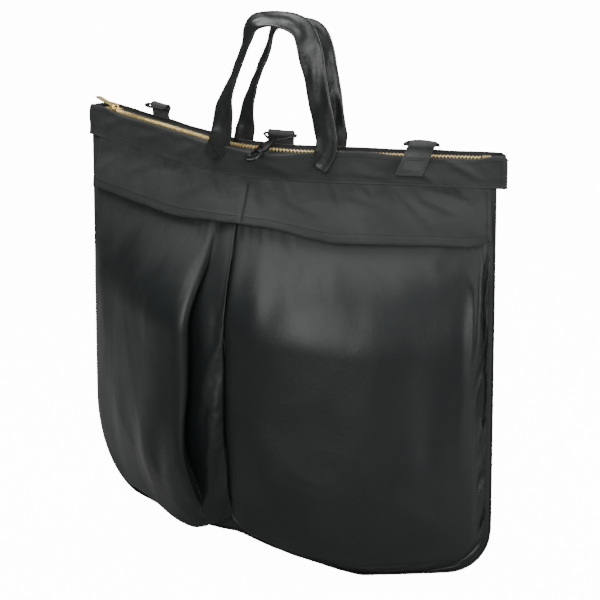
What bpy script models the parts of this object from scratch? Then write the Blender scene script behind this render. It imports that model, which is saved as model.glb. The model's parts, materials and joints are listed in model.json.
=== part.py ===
"""Flyer's helmet bag: a zipped cloth carrier with two gusseted patch pockets, a tacked flap and two handles.

The bag is drawn flat, in its own sewing coordinates, and bend() folds it like an open book:
  u  along the width, 0 at the centre seam, positive to the right
  w  through the thickness, negative towards the front
  h  height above the floor, before the small lean of a bag that hangs a little to one side
"""

import math

import bmesh
import bpy
from mathutils import Matrix, Vector

# cut of the body
HALF_WIDTH = 0.28
REACH = {-1: 0.28, 1: 0.273}
TOP = 0.494
BAND_HEIGHT = 0.036
SEAM = TOP - BAND_HEIGHT
CENTRE_BOTTOM = 0.050
SAG = {-1: 0.004, 1: 0.052}
SAG_PEAK = 0.20
CORNER = {-1: 0.11, 1: 0.048}
POCKET_CORNER = {-1: 0.095, 1: 0.034}
INNER_CORNER = 0.018
EDGE_HALF_DEPTH = 0.0125
BODY_BULGE = 0.036
LEAN = 0.036

# fold of the bag, seen from above
BEND = math.radians(26)
BEND_REACH = 0.07
BEND_RADIUS = BEND_REACH / BEND

# cloth and gaps
CLOTH = 0.0016
POCKET_CLOTH = 0.0014
GAP = 0.0004
SEAM_ROOM = 0.0016

# band and zip
BAND_OVERHANG = 0.006
MOUTH_SPREAD = 0.008
MOUTH_DIP = 0.005
MOUTH_MIDDLE = 0.015
MOUTH_REACH = 0.06
ZIP_HEIGHT = TOP - 0.004
TAPE_CLOTH = 0.0008
CHAIN_HALF_WIDTH = 0.0042
CHAIN_HEIGHT = 0.003
CHAIN_SLOT = 0.0014
ZIP_START = -0.266
ZIP_END = 0.258
SLIDER_U = -0.252
SLIDER_LENGTH = 0.019
SLIDER_WIDTH = 0.0115
PLATE = 0.0015
PULL_LENGTH = 0.034
PULL_WIDTH = 0.0076
PULL_RISE = math.radians(9)
PULL_THICKNESS = 0.0012
PULL_BAR = -0.0036
PULL_LIFT = CHAIN_HEIGHT / 2 + GAP + PLATE + 0.0017
BRIDGE_WIDTH = 0.0022
STOP_SIZE = (0.003, 0.0030, 0.0033)
BOTTOM_STOP_SIZE = (0.010, 0.0084, 0.0039)

# flap
FLAP_DROP = {-1: 0.057, 1: 0.064}
FLAP_REACH = {-1: 0.263, 1: 0.268}
FLAP_CENTRE = 0.018
FLAP_STAND = 0.0122
FLAP_ROOM = 0.0020
FLAP_KICK = 0.003
HEM_RISE = 0.010
CENTRE_DROP = 0.050
HINGE_DEPTH = 0.0016

# pockets, by side: sewn edge and standing edge of the inner gusset, the same of the outer gusset
POCKET = {
    -1: {"seam": -0.018, "ridge": -0.039, "outer_seam": -0.270, "outer_ridge": -0.266},
    1: {"seam": -0.010, "ridge": -0.005, "outer_seam": 0.266, "outer_ridge": 0.260},
}
POCKET_DEPTH = {-1: 0.036, 1: 0.030}
POCKET_MOUTH = SEAM - 0.050
FACE_LIFT = {-1: 0.013, 1: 0.020}
INNER_DROOP = {-1: 0.006, 1: 0.008}
FOOT = {-1: 0.62, 1: 0.28}
POCKET_STAND = 0.005
GUSSET_CORNER = {-1: (CORNER[-1], 0.02), 1: (0.02, CORNER[1])}
GUSSET_LIFT = 0.004

# handles
HANDLE_WIDTH = 0.027
HANDLE_THICKNESS = 0.0036
HANDLE_BASE = 0.0125
TAB_DROP = 0.020
TAB_THICKNESS = 0.002
HANDLE_SPAN = 0.123
HANDLE_ACROSS = (-0.0615, -0.0595, -0.0480, -0.0330, -0.0170, 0.0080, 0.0310, 0.0440, 0.0520, 0.0615)
HANDLE_UP = (HANDLE_BASE, 0.0480, 0.0810, 0.1090, 0.1320, 0.1395, 0.1290, 0.0940, 0.0520, HANDLE_BASE)
GRIP_SHARE = 0.62
FRONT_LEGS = (-0.029, 0.085)
REAR_LEGS = (-0.022, 0.096)
TILT = {"handle_front": 0.02, "handle_rear": 0.05}
TALL = {"handle_front": 1.0, "handle_rear": 0.93}
TAB_TOP = TOP + HANDLE_BASE - 0.0034
TAB_SHARE = 0.92
TAB_SLANT = -0.018

# webbing loops, rings and hook
WEBBING_WIDTH = 0.030
WEBBING = 0.0016
EYE_RADIUS = 0.0028
EYE_HEIGHT = 0.0110
LOOP_TAIL = 0.024
LOOP_SLANT = {"loop_front_right": 0.38}
REAR_LEFT_LOOP = -0.182
REAR_CENTRE_LOOP = 0.029
FRONT_RIGHT_LOOP = 0.190
RING_WIRE = 0.0015
RING_WIDTH = 0.038
RING_REACH = 0.0155
RING_RISE = math.radians(6)
EYE_ROOM = 0.0003
HOOK_WIRE = 0.0017
HOOK_YAW = math.radians(-28)
HOOK_PITCH = math.radians(-9)
HOOK_DROP = math.radians(-17)
BAIL_REACH = 0.026
BAIL_HALF_WIDTH = 0.018
BARREL_RADIUS = 0.0042
STEM_RADIUS = 0.0022
GATE_PIVOT = (0.0235, -0.0036, 0)
GATE_THICKNESS = 0.0026

COLOURS = {
    "nylon": ((0.030, 0.034, 0.034, 1), 0.42, 0.0),
    "webbing": ((0.045, 0.048, 0.048, 1), 0.75, 0.0),
    "tape": ((0.022, 0.024, 0.024, 1), 0.80, 0.0),
    "brass": ((0.62, 0.45, 0.16, 1), 0.30, 1.0),
    "black_metal": ((0.015, 0.016, 0.017, 1), 0.35, 0.6),
}


# ---- collections, materials and small helpers


def new_collection(name):
    collection = bpy.data.collections.new(name)
    bpy.context.scene.collection.children.link(collection)
    return collection


def material(name):
    found = bpy.data.materials.get(name)
    if found:
        return found
    colour, roughness, metallic = COLOURS[name]
    made = bpy.data.materials.new(name)
    made.use_nodes = True
    shader = made.node_tree.nodes["Principled BSDF"]
    shader.inputs["Base Color"].default_value = colour
    shader.inputs["Roughness"].default_value = roughness
    shader.inputs["Metallic"].default_value = metallic
    return made


def clamp(value, low=0.0, high=1.0):
    return max(low, min(high, value))


def smooth(value):
    t = clamp(value)
    return t * t * (3 - 2 * t)


def mix(a, b, t):
    return a + (b - a) * t


def side_of(u):
    return -1 if u < 0 else 1


# ---- the shape of the bag


def bend(u):
    """Point of the folded centre line seen from above, and the way it heads there."""
    turn = clamp(BEND * u / BEND_REACH, -BEND, BEND)
    past = u - BEND_RADIUS * turn
    x = BEND_RADIUS * math.sin(turn) + past * math.cos(turn)
    y = BEND_RADIUS * (1 - math.cos(turn)) + past * math.sin(turn)
    return x, y, turn


def place(u, w, h):
    """A point of the flat bag on the folded, leaning one."""
    x, y, turn = bend(u)
    return Vector((x - w * math.sin(turn), y + w * math.cos(turn), h - LEAN * u))


def rounded(u, low, high, left, right):
    """Rise of a lower edge that runs from low to high, with round corners of radius left and right."""
    if u < low + left:
        return left - math.sqrt(max(left**2 - (low + left - u) ** 2, 0))
    if u > high - right:
        return right - math.sqrt(max(right**2 - (u - high + right) ** 2, 0))
    return 0.0


def sagging(u):
    """Lower edge of the body without its corners: it hangs down in each half and lies flat on the floor."""
    side = side_of(u)
    sag = SAG[side] * math.sin(min(abs(u) / SAG_PEAK, 1) * math.pi / 2)
    return max(CENTRE_BOTTOM - sag, LEAN * u + CLOTH + 2 * GAP)


def body_bottom(u, grow=0.0):
    low, high = -REACH[-1] - grow, REACH[1] + grow
    return sagging(u) - grow + rounded(u, low, high, CORNER[-1] + grow, CORNER[1] + grow)


def body_depth(u, h):
    """How far the stuffed front or rear panel stands off the middle of the bag."""
    across = max(1 - (u / REACH[side_of(u)]) ** 2, 0) ** 0.75
    down = clamp((SEAM - h) / (SEAM - sagging(u)))
    swell = smooth(down / 0.42) * (1 - 0.34 * smooth((down - 0.66) / 0.34))
    return EDGE_HALF_DEPTH + BODY_BULGE * across * swell


def pocket_bottom(u, side, low, high, grow=0.0):
    inner, outer = INNER_CORNER + grow, POCKET_CORNER[side] + grow
    left, right = (outer, inner) if side < 0 else (inner, outer)
    droop = INNER_DROOP[side] * (1 - smooth(abs(u - POCKET[side]["ridge"]) / 0.12))
    lift = FACE_LIFT[side] - droop - grow
    return sagging(u) + lift + rounded(u, low - grow, high + grow, left, right)


def pocket_depth(u, h, side):
    """How far a pocket's face stands in front of the front panel."""
    cut = POCKET[side]
    along = clamp((u - cut["ridge"]) / (cut["outer_ridge"] - cut["ridge"]))
    down = clamp((POCKET_MOUTH - h) / (POCKET_MOUTH - sagging(u)))
    open_mouth = mix(0.010, 1.0, smooth(down / 0.34))
    if side < 0:
        spread = mix(1.0, 0.10, along**1.15)
    else:
        spread = mix(0.16, 1.0, math.sin(math.pi * clamp(along) ** 0.8) ** 0.8)
    foot = 1 - FOOT[side] * smooth((down - 0.72) / 0.28)
    return POCKET_STAND + POCKET_DEPTH[side] * spread * open_mouth * foot


# ---- making pieces


def adopt(obj, finish, origin=None):
    """Puts a piece in the bag's collection, with its material, and its origin on its joint's axis."""
    if origin is not None:
        obj.data.transform(Matrix.Translation(-origin))
        obj.location = origin
    obj.data.materials.clear()
    obj.data.materials.append(material(finish))
    for collection in list(obj.users_collection):
        collection.objects.unlink(obj)
    parts.objects.link(obj)
    return obj


def sheet(name, surface, columns, rows, thickness, finish, origin=None):
    """A cloth panel: a flat grid carried onto surface(a, b), both from 0 to 1, with a thickness."""
    mesh = bpy.data.meshes.new(name)
    flat = bmesh.new()
    bmesh.ops.create_grid(flat, x_segments=columns, y_segments=rows, size=0.5)
    for vertex in flat.verts:
        vertex.co = surface(vertex.co.x + 0.5, vertex.co.y + 0.5)
    flat.to_mesh(mesh)
    flat.free()
    mesh.shade_smooth()
    obj = bpy.data.objects.new(name, mesh)
    adopt(obj, finish, origin)
    thick = obj.modifiers.new("Thickness", "SOLIDIFY")
    thick.thickness = thickness
    thick.offset = 0
    return obj


def curve_object(name, runs, closed, flat):
    curve = bpy.data.curves.new(name, "CURVE")
    curve.dimensions = "2D" if flat else "3D"
    for run in runs:
        spline = curve.splines.new("POLY")
        spline.points.add(len(run) - 1)
        for point, at in zip(spline.points, run):
            point.co = (*at, 1) if len(at) == 3 else (at[0], at[1], 0, 1)
        spline.use_cyclic_u = closed
    return bpy.data.objects.new(name, curve)


def meshed(obj):
    """The same shape as a mesh, with its loose caps joined on."""
    bpy.context.scene.collection.objects.link(obj)
    bpy.context.view_layer.update()
    shape = obj.evaluated_get(bpy.context.evaluated_depsgraph_get())
    mesh = bpy.data.meshes.new_from_object(shape)
    edit = bmesh.new()
    edit.from_mesh(mesh)
    bmesh.ops.remove_doubles(edit, verts=edit.verts, dist=0.00002)
    bmesh.ops.recalc_face_normals(edit, faces=edit.faces)
    edit.to_mesh(mesh)
    edit.free()
    name = obj.name
    bpy.data.objects.remove(obj)
    return bpy.data.objects.new(name, mesh)


def plate(name, outlines, thickness, matrix):
    """A flat outline, with any holes, drawn in X and Y, made thickness thick and put where matrix says."""
    obj = curve_object(name, outlines, closed=True, flat=True)
    obj.data.fill_mode = "BOTH"
    obj.data.extrude = thickness / 2
    made = meshed(obj)
    made.data.transform(matrix)
    return made


def wire(name, points, radius, closed):
    """A round wire or rod along points."""
    obj = curve_object(name, [points], closed=closed, flat=False)
    obj.data.bevel_depth = radius
    obj.data.bevel_resolution = 2
    obj.data.use_fill_caps = not closed
    made = meshed(obj)
    made.data.shade_smooth()
    return made


def box(name, size, matrix):
    mesh = bpy.data.meshes.new(name)
    cube = bmesh.new()
    bmesh.ops.create_cube(cube, size=1.0, matrix=Matrix.Diagonal((*size, 1)))
    cube.to_mesh(mesh)
    cube.free()
    mesh.transform(matrix)
    return bpy.data.objects.new(name, mesh)


def drum(name, radius, length, matrix, sides=16):
    """A cylinder along Z."""
    mesh = bpy.data.meshes.new(name)
    cone = bmesh.new()
    bmesh.ops.create_cone(
        cone, cap_ends=True, segments=sides, radius1=radius, radius2=radius, depth=length
    )
    cone.to_mesh(mesh)
    cone.free()
    mesh.transform(matrix)
    return bpy.data.objects.new(name, mesh)


def join(obj, *others):
    """Unions the others into obj. They stay behind as hidden guides."""
    for other in others:
        cutters.objects.link(other)
        other.hide_render = True
        other.display_type = "WIRE"
        union = obj.modifiers.new("Join " + other.name, "BOOLEAN")
        union.operation = "UNION"
        union.object = other
    return obj


def circle(centre, radius, start, end, steps):
    """Points of an arc, from start to end in degrees."""
    angles = [math.radians(mix(start, end, n / steps)) for n in range(steps + 1)]
    return [(centre[0] + radius * math.cos(a), centre[1] + radius * math.sin(a)) for a in angles]


def stand(u, w, h):
    """A frame on the bag: X along the width, Y to the rear, Z up."""
    turn = bend(u)[2]
    slope = Matrix.Rotation(math.atan(LEAN), 4, "Y")
    return Matrix.Translation(place(u, w, h)) @ Matrix.Rotation(turn, 4, "Z") @ slope


# ---- body


def spaced(a, low, high):
    """Columns that crowd towards both ends, where the corners are round."""
    return mix(low, high, (1 - math.cos(math.pi * a)) / 2)


def build_panel(name, facing):
    def surface(a, b):
        u = spaced(a, -REACH[-1], REACH[1])
        h = mix(body_bottom(u), SEAM - GAP, b)
        return place(u, facing * body_depth(u, h), h)

    sheet(name, surface, 24, 10, CLOTH, "nylon")


def around(a, low, high, bottom, top):
    """Way round a U-shaped edge: down the left side, along the bottom and up the right side."""
    if a < 0.2:
        return low, mix(top, bottom(low), a / 0.2)
    if a > 0.8:
        return high, mix(bottom(high), top, (a - 0.8) / 0.2)
    u = spaced((a - 0.2) / 0.6, low, high)
    return u, bottom(u)


def build_side_gusset():
    off = CLOTH + GAP

    def surface(a, b):
        u, h = around(a, -REACH[-1] - off, REACH[1] + off, lambda at: body_bottom(at, off), SEAM - GAP)
        inner = clamp(u, -REACH[-1], REACH[1])
        half = body_depth(inner, h) + CLOTH / 2
        return place(u, mix(-half, half, b), max(h, LEAN * u + CLOTH / 2))

    sheet("side_gusset", surface, 40, 3, CLOTH, "nylon")


def spread_of(u):
    """1 where the handles pull the mouth open, 0 away from them."""
    return math.exp(-(((u - MOUTH_MIDDLE) / MOUTH_REACH) ** 2))


def band_top(u, facing):
    depth = EDGE_HALF_DEPTH + MOUTH_SPREAD * spread_of(u) * (facing < 0)
    return facing * depth, TOP - MOUTH_DIP * spread_of(u) * (facing < 0)


def band_depth(u, h, facing):
    """Distance of the band's cloth from the middle at height h."""
    w, top = band_top(u, facing)
    return mix(EDGE_HALF_DEPTH, abs(w), clamp((h - SEAM) / (top - SEAM)))


def build_band(name, facing):
    end = HALF_WIDTH + BAND_OVERHANG

    def surface(a, b):
        u = mix(-end, end, a)
        w, h = band_top(u, facing)
        return place(u, mix(facing * EDGE_HALF_DEPTH, w, b), mix(SEAM + GAP, h, b))

    sheet(name, surface, 32, 2, CLOTH, "nylon")


def build_band_end(name, side):
    """The folded cloth that closes the band past the end of the zip."""
    reach = EDGE_HALF_DEPTH - CLOTH / 2 - GAP

    def surface(a, b):
        bow = math.cos((a - 0.5) * math.pi)
        u = side * (HALF_WIDTH + 0.001 + 0.003 * bow)
        return place(u, mix(-reach, reach, a), mix(SEAM + 0.001, TOP - 0.001, b))

    sheet(name, surface, 6, 2, CLOTH * 0.8, "nylon")


# ---- flap


def flap_front(u, h):
    """Outer side of the flap: it lies over the pocket's mouth and stands off it a little."""
    side = side_of(u)
    down = clamp((SEAM - h) / FLAP_DROP[side])
    kick = FLAP_KICK * smooth((u - 0.20) / 0.07)
    stand_off = mix(FLAP_ROOM, FLAP_STAND + kick, smooth(down * 1.15))
    return -body_depth(u, h) - stand_off


def flap_hem(u):
    rise = HEM_RISE * smooth((u - 0.245) / 0.035)
    drop = mix(CENTRE_DROP, FLAP_DROP[side_of(u)], smooth((abs(u) - FLAP_CENTRE) / 0.08))
    return SEAM - drop + rise


def flap_surface(low, high):
    def surface(a, b):
        u = mix(low, high, a)
        h = mix(flap_hem(u), SEAM - 0.001, b)
        return place(u, flap_front(u, h), h)

    return surface


def flap_axis(side):
    w = -EDGE_HALF_DEPTH - HINGE_DEPTH
    return place(side * 0.27, w, SEAM), place(side * 0.08, w, SEAM)


def build_flap():
    inner = FLAP_CENTRE + 0.0005
    for name, side in (("flap_left", -1), ("flap_right", 1)):
        low, high = sorted((side * inner, side * FLAP_REACH[side]))
        origin = flap_axis(side)[0]
        sheet(name, flap_surface(low, high), 14, 4, POCKET_CLOTH, "nylon", origin)
    sheet("flap_centre", flap_surface(-FLAP_CENTRE, FLAP_CENTRE), 4, 4, POCKET_CLOTH, "nylon")


# ---- pockets


def build_pocket_face(name, side):
    cut = POCKET[side]
    low, high = sorted((cut["ridge"], cut["outer_ridge"]))

    def surface(a, b):
        u = spaced(a, low, high)
        h = mix(pocket_bottom(u, side, low, high), POCKET_MOUTH, b)
        return place(u, -body_depth(u, h) - pocket_depth(u, h, side), h)

    sheet(name, surface, 16, 12, POCKET_CLOTH, "nylon")


def build_pocket_gusset(name, side):
    cut = POCKET[side]
    off = POCKET_CLOTH + GAP
    face_low, face_high = sorted((cut["ridge"], cut["outer_ridge"]))
    seam_low, seam_high = sorted((cut["seam"], cut["outer_seam"]))

    def face_edge(a):
        u, h = around(
            a,
            face_low - off,
            face_high + off,
            lambda at: pocket_bottom(at, side, face_low, face_high, off),
            POCKET_MOUTH,
        )
        inside = clamp(u, face_low, face_high)
        w = -body_depth(inside, h) - pocket_depth(inside, h, side) - POCKET_CLOTH / 2
        return u, w, h

    def seam_edge(a):
        def bottom(at):
            return sagging(at) + GUSSET_LIFT + rounded(at, seam_low, seam_high, *GUSSET_CORNER[side])

        u, h = around(a, seam_low, seam_high, bottom, POCKET_MOUTH)
        return u, -body_depth(u, h) - CLOTH / 2 - SEAM_ROOM, h

    def surface(a, b):
        u, w, h = (mix(s, f, b) for s, f in zip(seam_edge(a), face_edge(a)))
        return place(u, w, h)

    sheet(name, surface, 40, 3, POCKET_CLOTH, "nylon")


# ---- handles


def handle_line(t):
    """Way along a handle, from its left leg (0) to its right leg (1): across, and height above the band."""
    return spline(HANDLE_ACROSS, t), spline(HANDLE_UP, t)


def spline(values, t):
    """Smooth curve through evenly spaced values."""
    at = clamp(t) * (len(values) - 1)
    n = min(int(at), len(values) - 2)
    before = values[max(n - 1, 0)]
    after = values[min(n + 2, len(values) - 1)]
    start, end, f = values[n], values[n + 1], at - n
    return 0.5 * (
        2 * start
        + (end - before) * f
        + (2 * before - 5 * start + 4 * end - after) * f**2
        + (3 * start - before - 3 * end + after) * f**3
    )


def handle_frame(legs, facing):
    """Middle, direction across and direction to the rear of the plane that a handle stands in."""
    w = facing * (EDGE_HALF_DEPTH + CLOTH / 2 + GAP + TAB_THICKNESS / 2)
    ends = []
    for u in legs:
        spread = MOUTH_SPREAD * spread_of(u) * (facing < 0)
        ends.append(place(u, w + facing * spread, TOP))
    across = (ends[1] - ends[0]).normalized()
    rear = Vector((-across.y, across.x, 0)).normalized()
    return (ends[0] + ends[1]) / 2, across, rear, (ends[1] - ends[0]).length


def build_handle(name, legs, facing):
    middle, across, rear, gap = handle_frame(legs, facing)
    up = across.cross(rear)
    scale = gap / HANDLE_SPAN
    lean = (up + rear * TILT[name]).normalized()

    def surface(a, b):
        x, z = handle_line(a)
        ahead = [p - q for p, q in zip(handle_line(a + 0.01), handle_line(a - 0.01))]
        long = math.hypot(*ahead)
        width = HANDLE_WIDTH * mix(1, GRIP_SHARE, smooth((z - 0.07) / 0.06))
        off = (b - 0.5) * width
        x, z = x * scale - ahead[1] / long * off, z + ahead[0] / long * off
        z = max(z - HANDLE_BASE, 0) * TALL[name]
        return middle + across * x + up * HANDLE_BASE + lean * z

    origin = middle + up * HANDLE_BASE
    sheet(name, surface, 36, 2, HANDLE_THICKNESS, "nylon", origin)


def build_tab(name, u, facing):
    """The sewn end of a handle, on the outside of the band and a little above its edge."""
    off = CLOTH / 2 + 2 * GAP + TAB_THICKNESS / 2

    def surface(a, b):
        h = mix(TOP - TAB_DROP, TAB_TOP, b)
        along = u + (a - 0.5) * HANDLE_WIDTH * TAB_SHARE + TAB_SLANT * (1 - b)
        lean = smooth((h - SEAM) / BAND_HEIGHT) if h < TOP else 1.0
        spread = max(spread_of(along), spread_of(u)) * MOUTH_SPREAD * (facing < 0)
        return place(along, facing * (EDGE_HALF_DEPTH + off + spread * lean), h)

    sheet(name, surface, 4, 4, TAB_THICKNESS, "nylon")


# ---- webbing loops, rings and hook


def loop_height(u, facing):
    return band_top(u, facing)[1] + EYE_HEIGHT


def eye_depth(u, facing):
    hollow = WEBBING_WIDTH**2 / 8 / BEND_RADIUS if facing > 0 and abs(u) < BEND_REACH else 0.0
    return band_top(u, facing)[0] + facing * (CLOTH / 2 + GAP + WEBBING + EYE_ROOM + hollow)


def build_loop(name, u, facing):
    """Webbing folded over a bar: two tails sewn to the outside of the band, and an eye above its edge."""
    outer = EYE_RADIUS + WEBBING
    start = math.degrees(math.asin(-math.sqrt(1 - (WEBBING / outer) ** 2)))
    eye = circle((0, 0), outer, start, 180 - start, 14)
    tail = [(-WEBBING, -EYE_HEIGHT - LOOP_TAIL), (WEBBING, -EYE_HEIGHT - LOOP_TAIL)]
    hole = circle((0, 0), EYE_RADIUS, 0, 330, 11)
    upright = Matrix(((0, 0, 1, 0), (1, 0, 0, 0), (0, 1, 0, 0), (0, 0, 0, 1)))
    slant = Matrix(((1, 0, LOOP_SLANT.get(name, 0), 0), (0, 1, 0, 0), (0, 0, 1, 0), (0, 0, 0, 1)))
    matrix = stand(u, eye_depth(u, facing), loop_height(u, facing)) @ slant @ upright
    made = plate(name, [eye + tail, hole], WEBBING_WIDTH, matrix)
    adopt(made, "webbing")


def build_ring(name, u, facing):
    """A wire D ring: its bar lies in the loop's eye and its bow leans over the zip."""
    half = RING_WIDTH / 2
    bow = [(half * math.cos(a), RING_REACH * math.sin(a)) for a in (math.pi * n / 18 for n in range(1, 18))]
    flat = [(-half, 0.0), (-half / 3, 0.0), (half / 3, 0.0), (half, 0.0), *bow]
    inward = Matrix.Rotation(-facing * RING_RISE, 4, "X") @ Matrix.Scale(-facing, 4, (0, 1, 0))
    matrix = stand(u, eye_depth(u, facing), loop_height(u, facing)) @ inward
    points = [tuple(matrix @ Vector((x, y, 0))) for x, y in flat]
    made = wire(name, points, RING_WIRE, closed=True)
    adopt(made, "black_metal", stand(u, eye_depth(u, facing), loop_height(u, facing)).translation)


def hook_frames():
    """Frame of the bail on its bar, and of the hook on its swivel: X points to the hook's nose."""
    bar = stand(REAR_CENTRE_LOOP, eye_depth(REAR_CENTRE_LOOP, 1), loop_height(REAR_CENTRE_LOOP, 1))
    ahead = Matrix.Rotation(math.radians(-90), 4, "Z") @ Matrix.Rotation(-HOOK_PITCH, 4, "Y")
    bail = bar @ ahead
    turned = Matrix.Rotation(HOOK_YAW, 4, "Z") @ Matrix.Rotation(-HOOK_DROP, 4, "Y")
    swivel = bail @ Matrix.Translation((BAIL_REACH, -0.003, 0)) @ turned
    return bail, swivel


def build_hook():
    bail_frame, hook_frame = hook_frames()
    lying = Matrix.Rotation(math.radians(90), 4, "Y")

    def on(frame, points):
        return [tuple(frame @ Vector((x, y, 0))) for x, y in points]

    half = BAIL_HALF_WIDTH
    tip = BAIL_REACH - 0.0015
    triangle = [(0, -half), (0, 0), (0, half), (0.004, half + 0.0005), (tip, -0.0005), (tip, -0.0055)]
    triangle.append((0.004, -half - 0.0005))
    bail = wire("hook_bail", on(bail_frame, triangle), HOOK_WIRE * 0.8, closed=True)
    stem = drum("bail_stem", STEM_RADIUS, 0.009, hook_frame @ Matrix.Translation((0.002, 0, 0)) @ lying)
    join(bail, stem)
    adopt(bail, "black_metal", bail_frame.translation)

    arc = circle((0.0345, 0), 0.0060, 100, -100, 12)
    line = [(0.016, 0.0022), (0.022, 0.0040), (0.029, 0.0056), *arc, (0.0305, -0.0059)]
    body = wire("hook_body", on(hook_frame, line), HOOK_WIRE, closed=False)
    barrel = drum("hook_barrel", BARREL_RADIUS, 0.010, hook_frame @ Matrix.Translation((0.0121, 0, 0)) @ lying)
    fork = box("hook_fork", (0.008, 0.009, 0.005), hook_frame @ Matrix.Translation((0.0180, 0, 0)))
    join(body, barrel, fork)
    adopt(body, "black_metal", hook_frame.translation)

    pivot = hook_frame @ Matrix.Translation(GATE_PIVOT)
    lever = circle((0, 0), 0.0013, 90, 270, 6) + [(0.0056, -0.0024), (0.0056, -0.0002)]
    gate = plate("hook_gate", [lever], GATE_THICKNESS, pivot)
    adopt(gate, "black_metal", pivot.translation)


# ---- zip


def build_tape(name, facing):
    def surface(a, b):
        u = mix(-HALF_WIDTH + 0.006, HALF_WIDTH - 0.006, a)
        low = ZIP_HEIGHT - TOP + band_top(u, facing)[1]
        far = band_depth(u, low, facing) - CLOTH / 2 - 2 * GAP
        w = mix(CHAIN_HALF_WIDTH + 2 * GAP, far, b)
        return place(u, facing * w, mix(ZIP_HEIGHT, low, b))

    sheet(name, surface, 28, 1, TAPE_CLOTH, "tape")


def build_chain(name, facing):
    def surface(a, b):
        u = mix(ZIP_START, ZIP_END, a)
        return place(u, facing * mix(CHAIN_SLOT / 2, CHAIN_HALF_WIDTH, b), ZIP_HEIGHT)

    sheet(name, surface, 28, 1, CHAIN_HEIGHT, "brass")


def build_stops():
    for name, facing in (("top_stop_front", -1), ("top_stop_rear", 1)):
        made = box(name, STOP_SIZE, stand(ZIP_START - 0.0022, facing * 0.0026, ZIP_HEIGHT))
        adopt(made, "brass")
    made = box("bottom_stop", BOTTOM_STOP_SIZE, stand(ZIP_END + 0.0055, 0, ZIP_HEIGHT))
    adopt(made, "brass")


def build_slider():
    """Two plates round the chain, joined by a thin neck between the rows, with a bridge for the pull."""
    centre = stand(SLIDER_U, 0, ZIP_HEIGHT)
    long, wide = SLIDER_LENGTH / 2, SLIDER_WIDTH / 2
    outline = [(-long, -wide * 0.55), (-long * 0.3, -wide * 0.6), (long * 0.5, -wide), (long * 0.9, -wide * 0.8)]
    outline += [(x, -y) for x, y in reversed(outline)]
    lift = CHAIN_HEIGHT / 2 + GAP + PLATE / 2
    upper = plate("zip_slider", [outline], PLATE, centre @ Matrix.Translation((0, 0, lift)))
    lower = plate("slider_lower", [outline], PLATE, centre @ Matrix.Translation((0, 0, -lift)))
    neck = box("slider_neck", (0.006, 0.0008, 2 * lift), centre @ Matrix.Translation((long * 0.5, 0, 0)))
    upright = Matrix.Rotation(math.radians(90), 4, "X")
    feet = [(-0.006, -0.0005), (-0.006, 0.0036), (-0.0045, 0.0046), (0.0045, 0.0046), (0.006, 0.0036)]
    feet += [(0.006, -0.0005), (0.0048, -0.0005), (0.0048, 0.0034), (-0.0048, 0.0034), (-0.0048, -0.0005)]
    bridge = plate(
        "slider_bridge", [feet], BRIDGE_WIDTH, centre @ Matrix.Translation((0, 0, lift + PLATE / 2)) @ upright
    )
    join(upper, lower, neck, bridge)
    adopt(upper, "brass", centre.translation)


def build_pull():
    """A flat tab whose end bar passes under the slider's bridge."""
    hinge = stand(SLIDER_U + PULL_BAR, 0, ZIP_HEIGHT + PULL_LIFT)
    half = PULL_WIDTH / 2
    outline = [(0.0006, -0.0030), (0.0006, 0.0030), (-0.008, 0.0030), (-0.012, half), (-PULL_LENGTH + 0.003, half)]
    outline += circle((-PULL_LENGTH + 0.003, 0), half, 90, 270, 8)[1:-1]
    outline += [(-PULL_LENGTH + 0.003, -half), (-0.012, -half), (-0.008, -0.0030)]
    hole = [(-0.0006, -0.0018), (-0.0062, -0.0018), (-0.0062, 0.0018), (-0.0006, 0.0018)]
    made = plate("zip_pull", [outline, hole], PULL_THICKNESS, hinge @ Matrix.Rotation(PULL_RISE, 4, "Y"))
    adopt(made, "brass", hinge.translation)


# ---- the whole bag


def settle():
    """Moves the bag so that its box stands on the origin with its bottom centre."""
    bpy.context.view_layer.update()
    corners = []
    graph = bpy.context.evaluated_depsgraph_get()
    for obj in parts.objects:
        shape = obj.evaluated_get(graph)
        corners += [shape.matrix_world @ vertex.co for vertex in shape.data.vertices]
    low = Vector([min(c[axis] for c in corners) for axis in range(3)])
    high = Vector([max(c[axis] for c in corners) for axis in range(3)])
    middle = (low + high) / 2
    for obj in parts.objects:
        obj.location -= Vector((middle.x, middle.y, low.z))
    for obj in cutters.objects:
        obj.location -= Vector((middle.x, middle.y, low.z))


for old in list(bpy.data.objects):
    bpy.data.objects.remove(old)
parts = new_collection("flight_bag")
cutters = new_collection("cutters")

build_panel("front_panel", -1)
build_panel("rear_panel", 1)
build_side_gusset()
build_band("band_front", -1)
build_band("band_rear", 1)
build_band_end("band_end_left", -1)
build_band_end("band_end_right", 1)
build_flap()
for word, which in (("left", -1), ("right", 1)):
    build_pocket_face("pocket_face_" + word, which)
    build_pocket_gusset("pocket_gusset_" + word, which)
build_handle("handle_front", FRONT_LEGS, -1)
build_handle("handle_rear", REAR_LEGS, 1)
for word, leg in zip(("left", "right"), FRONT_LEGS):
    build_tab("handle_tab_front_" + word, leg, -1)
for word, leg in zip(("left", "right"), REAR_LEGS):
    build_tab("handle_tab_rear_" + word, leg, 1)
build_loop("loop_rear_left", REAR_LEFT_LOOP, 1)
build_loop("loop_rear_centre", REAR_CENTRE_LOOP, 1)
build_loop("loop_front_right", FRONT_RIGHT_LOOP, -1)
build_ring("ring_rear_left", REAR_LEFT_LOOP, 1)
build_ring("ring_front_right", FRONT_RIGHT_LOOP, -1)
build_hook()
build_tape("zip_tape_front", -1)
build_tape("zip_tape_rear", 1)
build_chain("zip_teeth_front", -1)
build_chain("zip_teeth_rear", 1)
build_stops()
build_slider()
build_pull()
settle()
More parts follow.
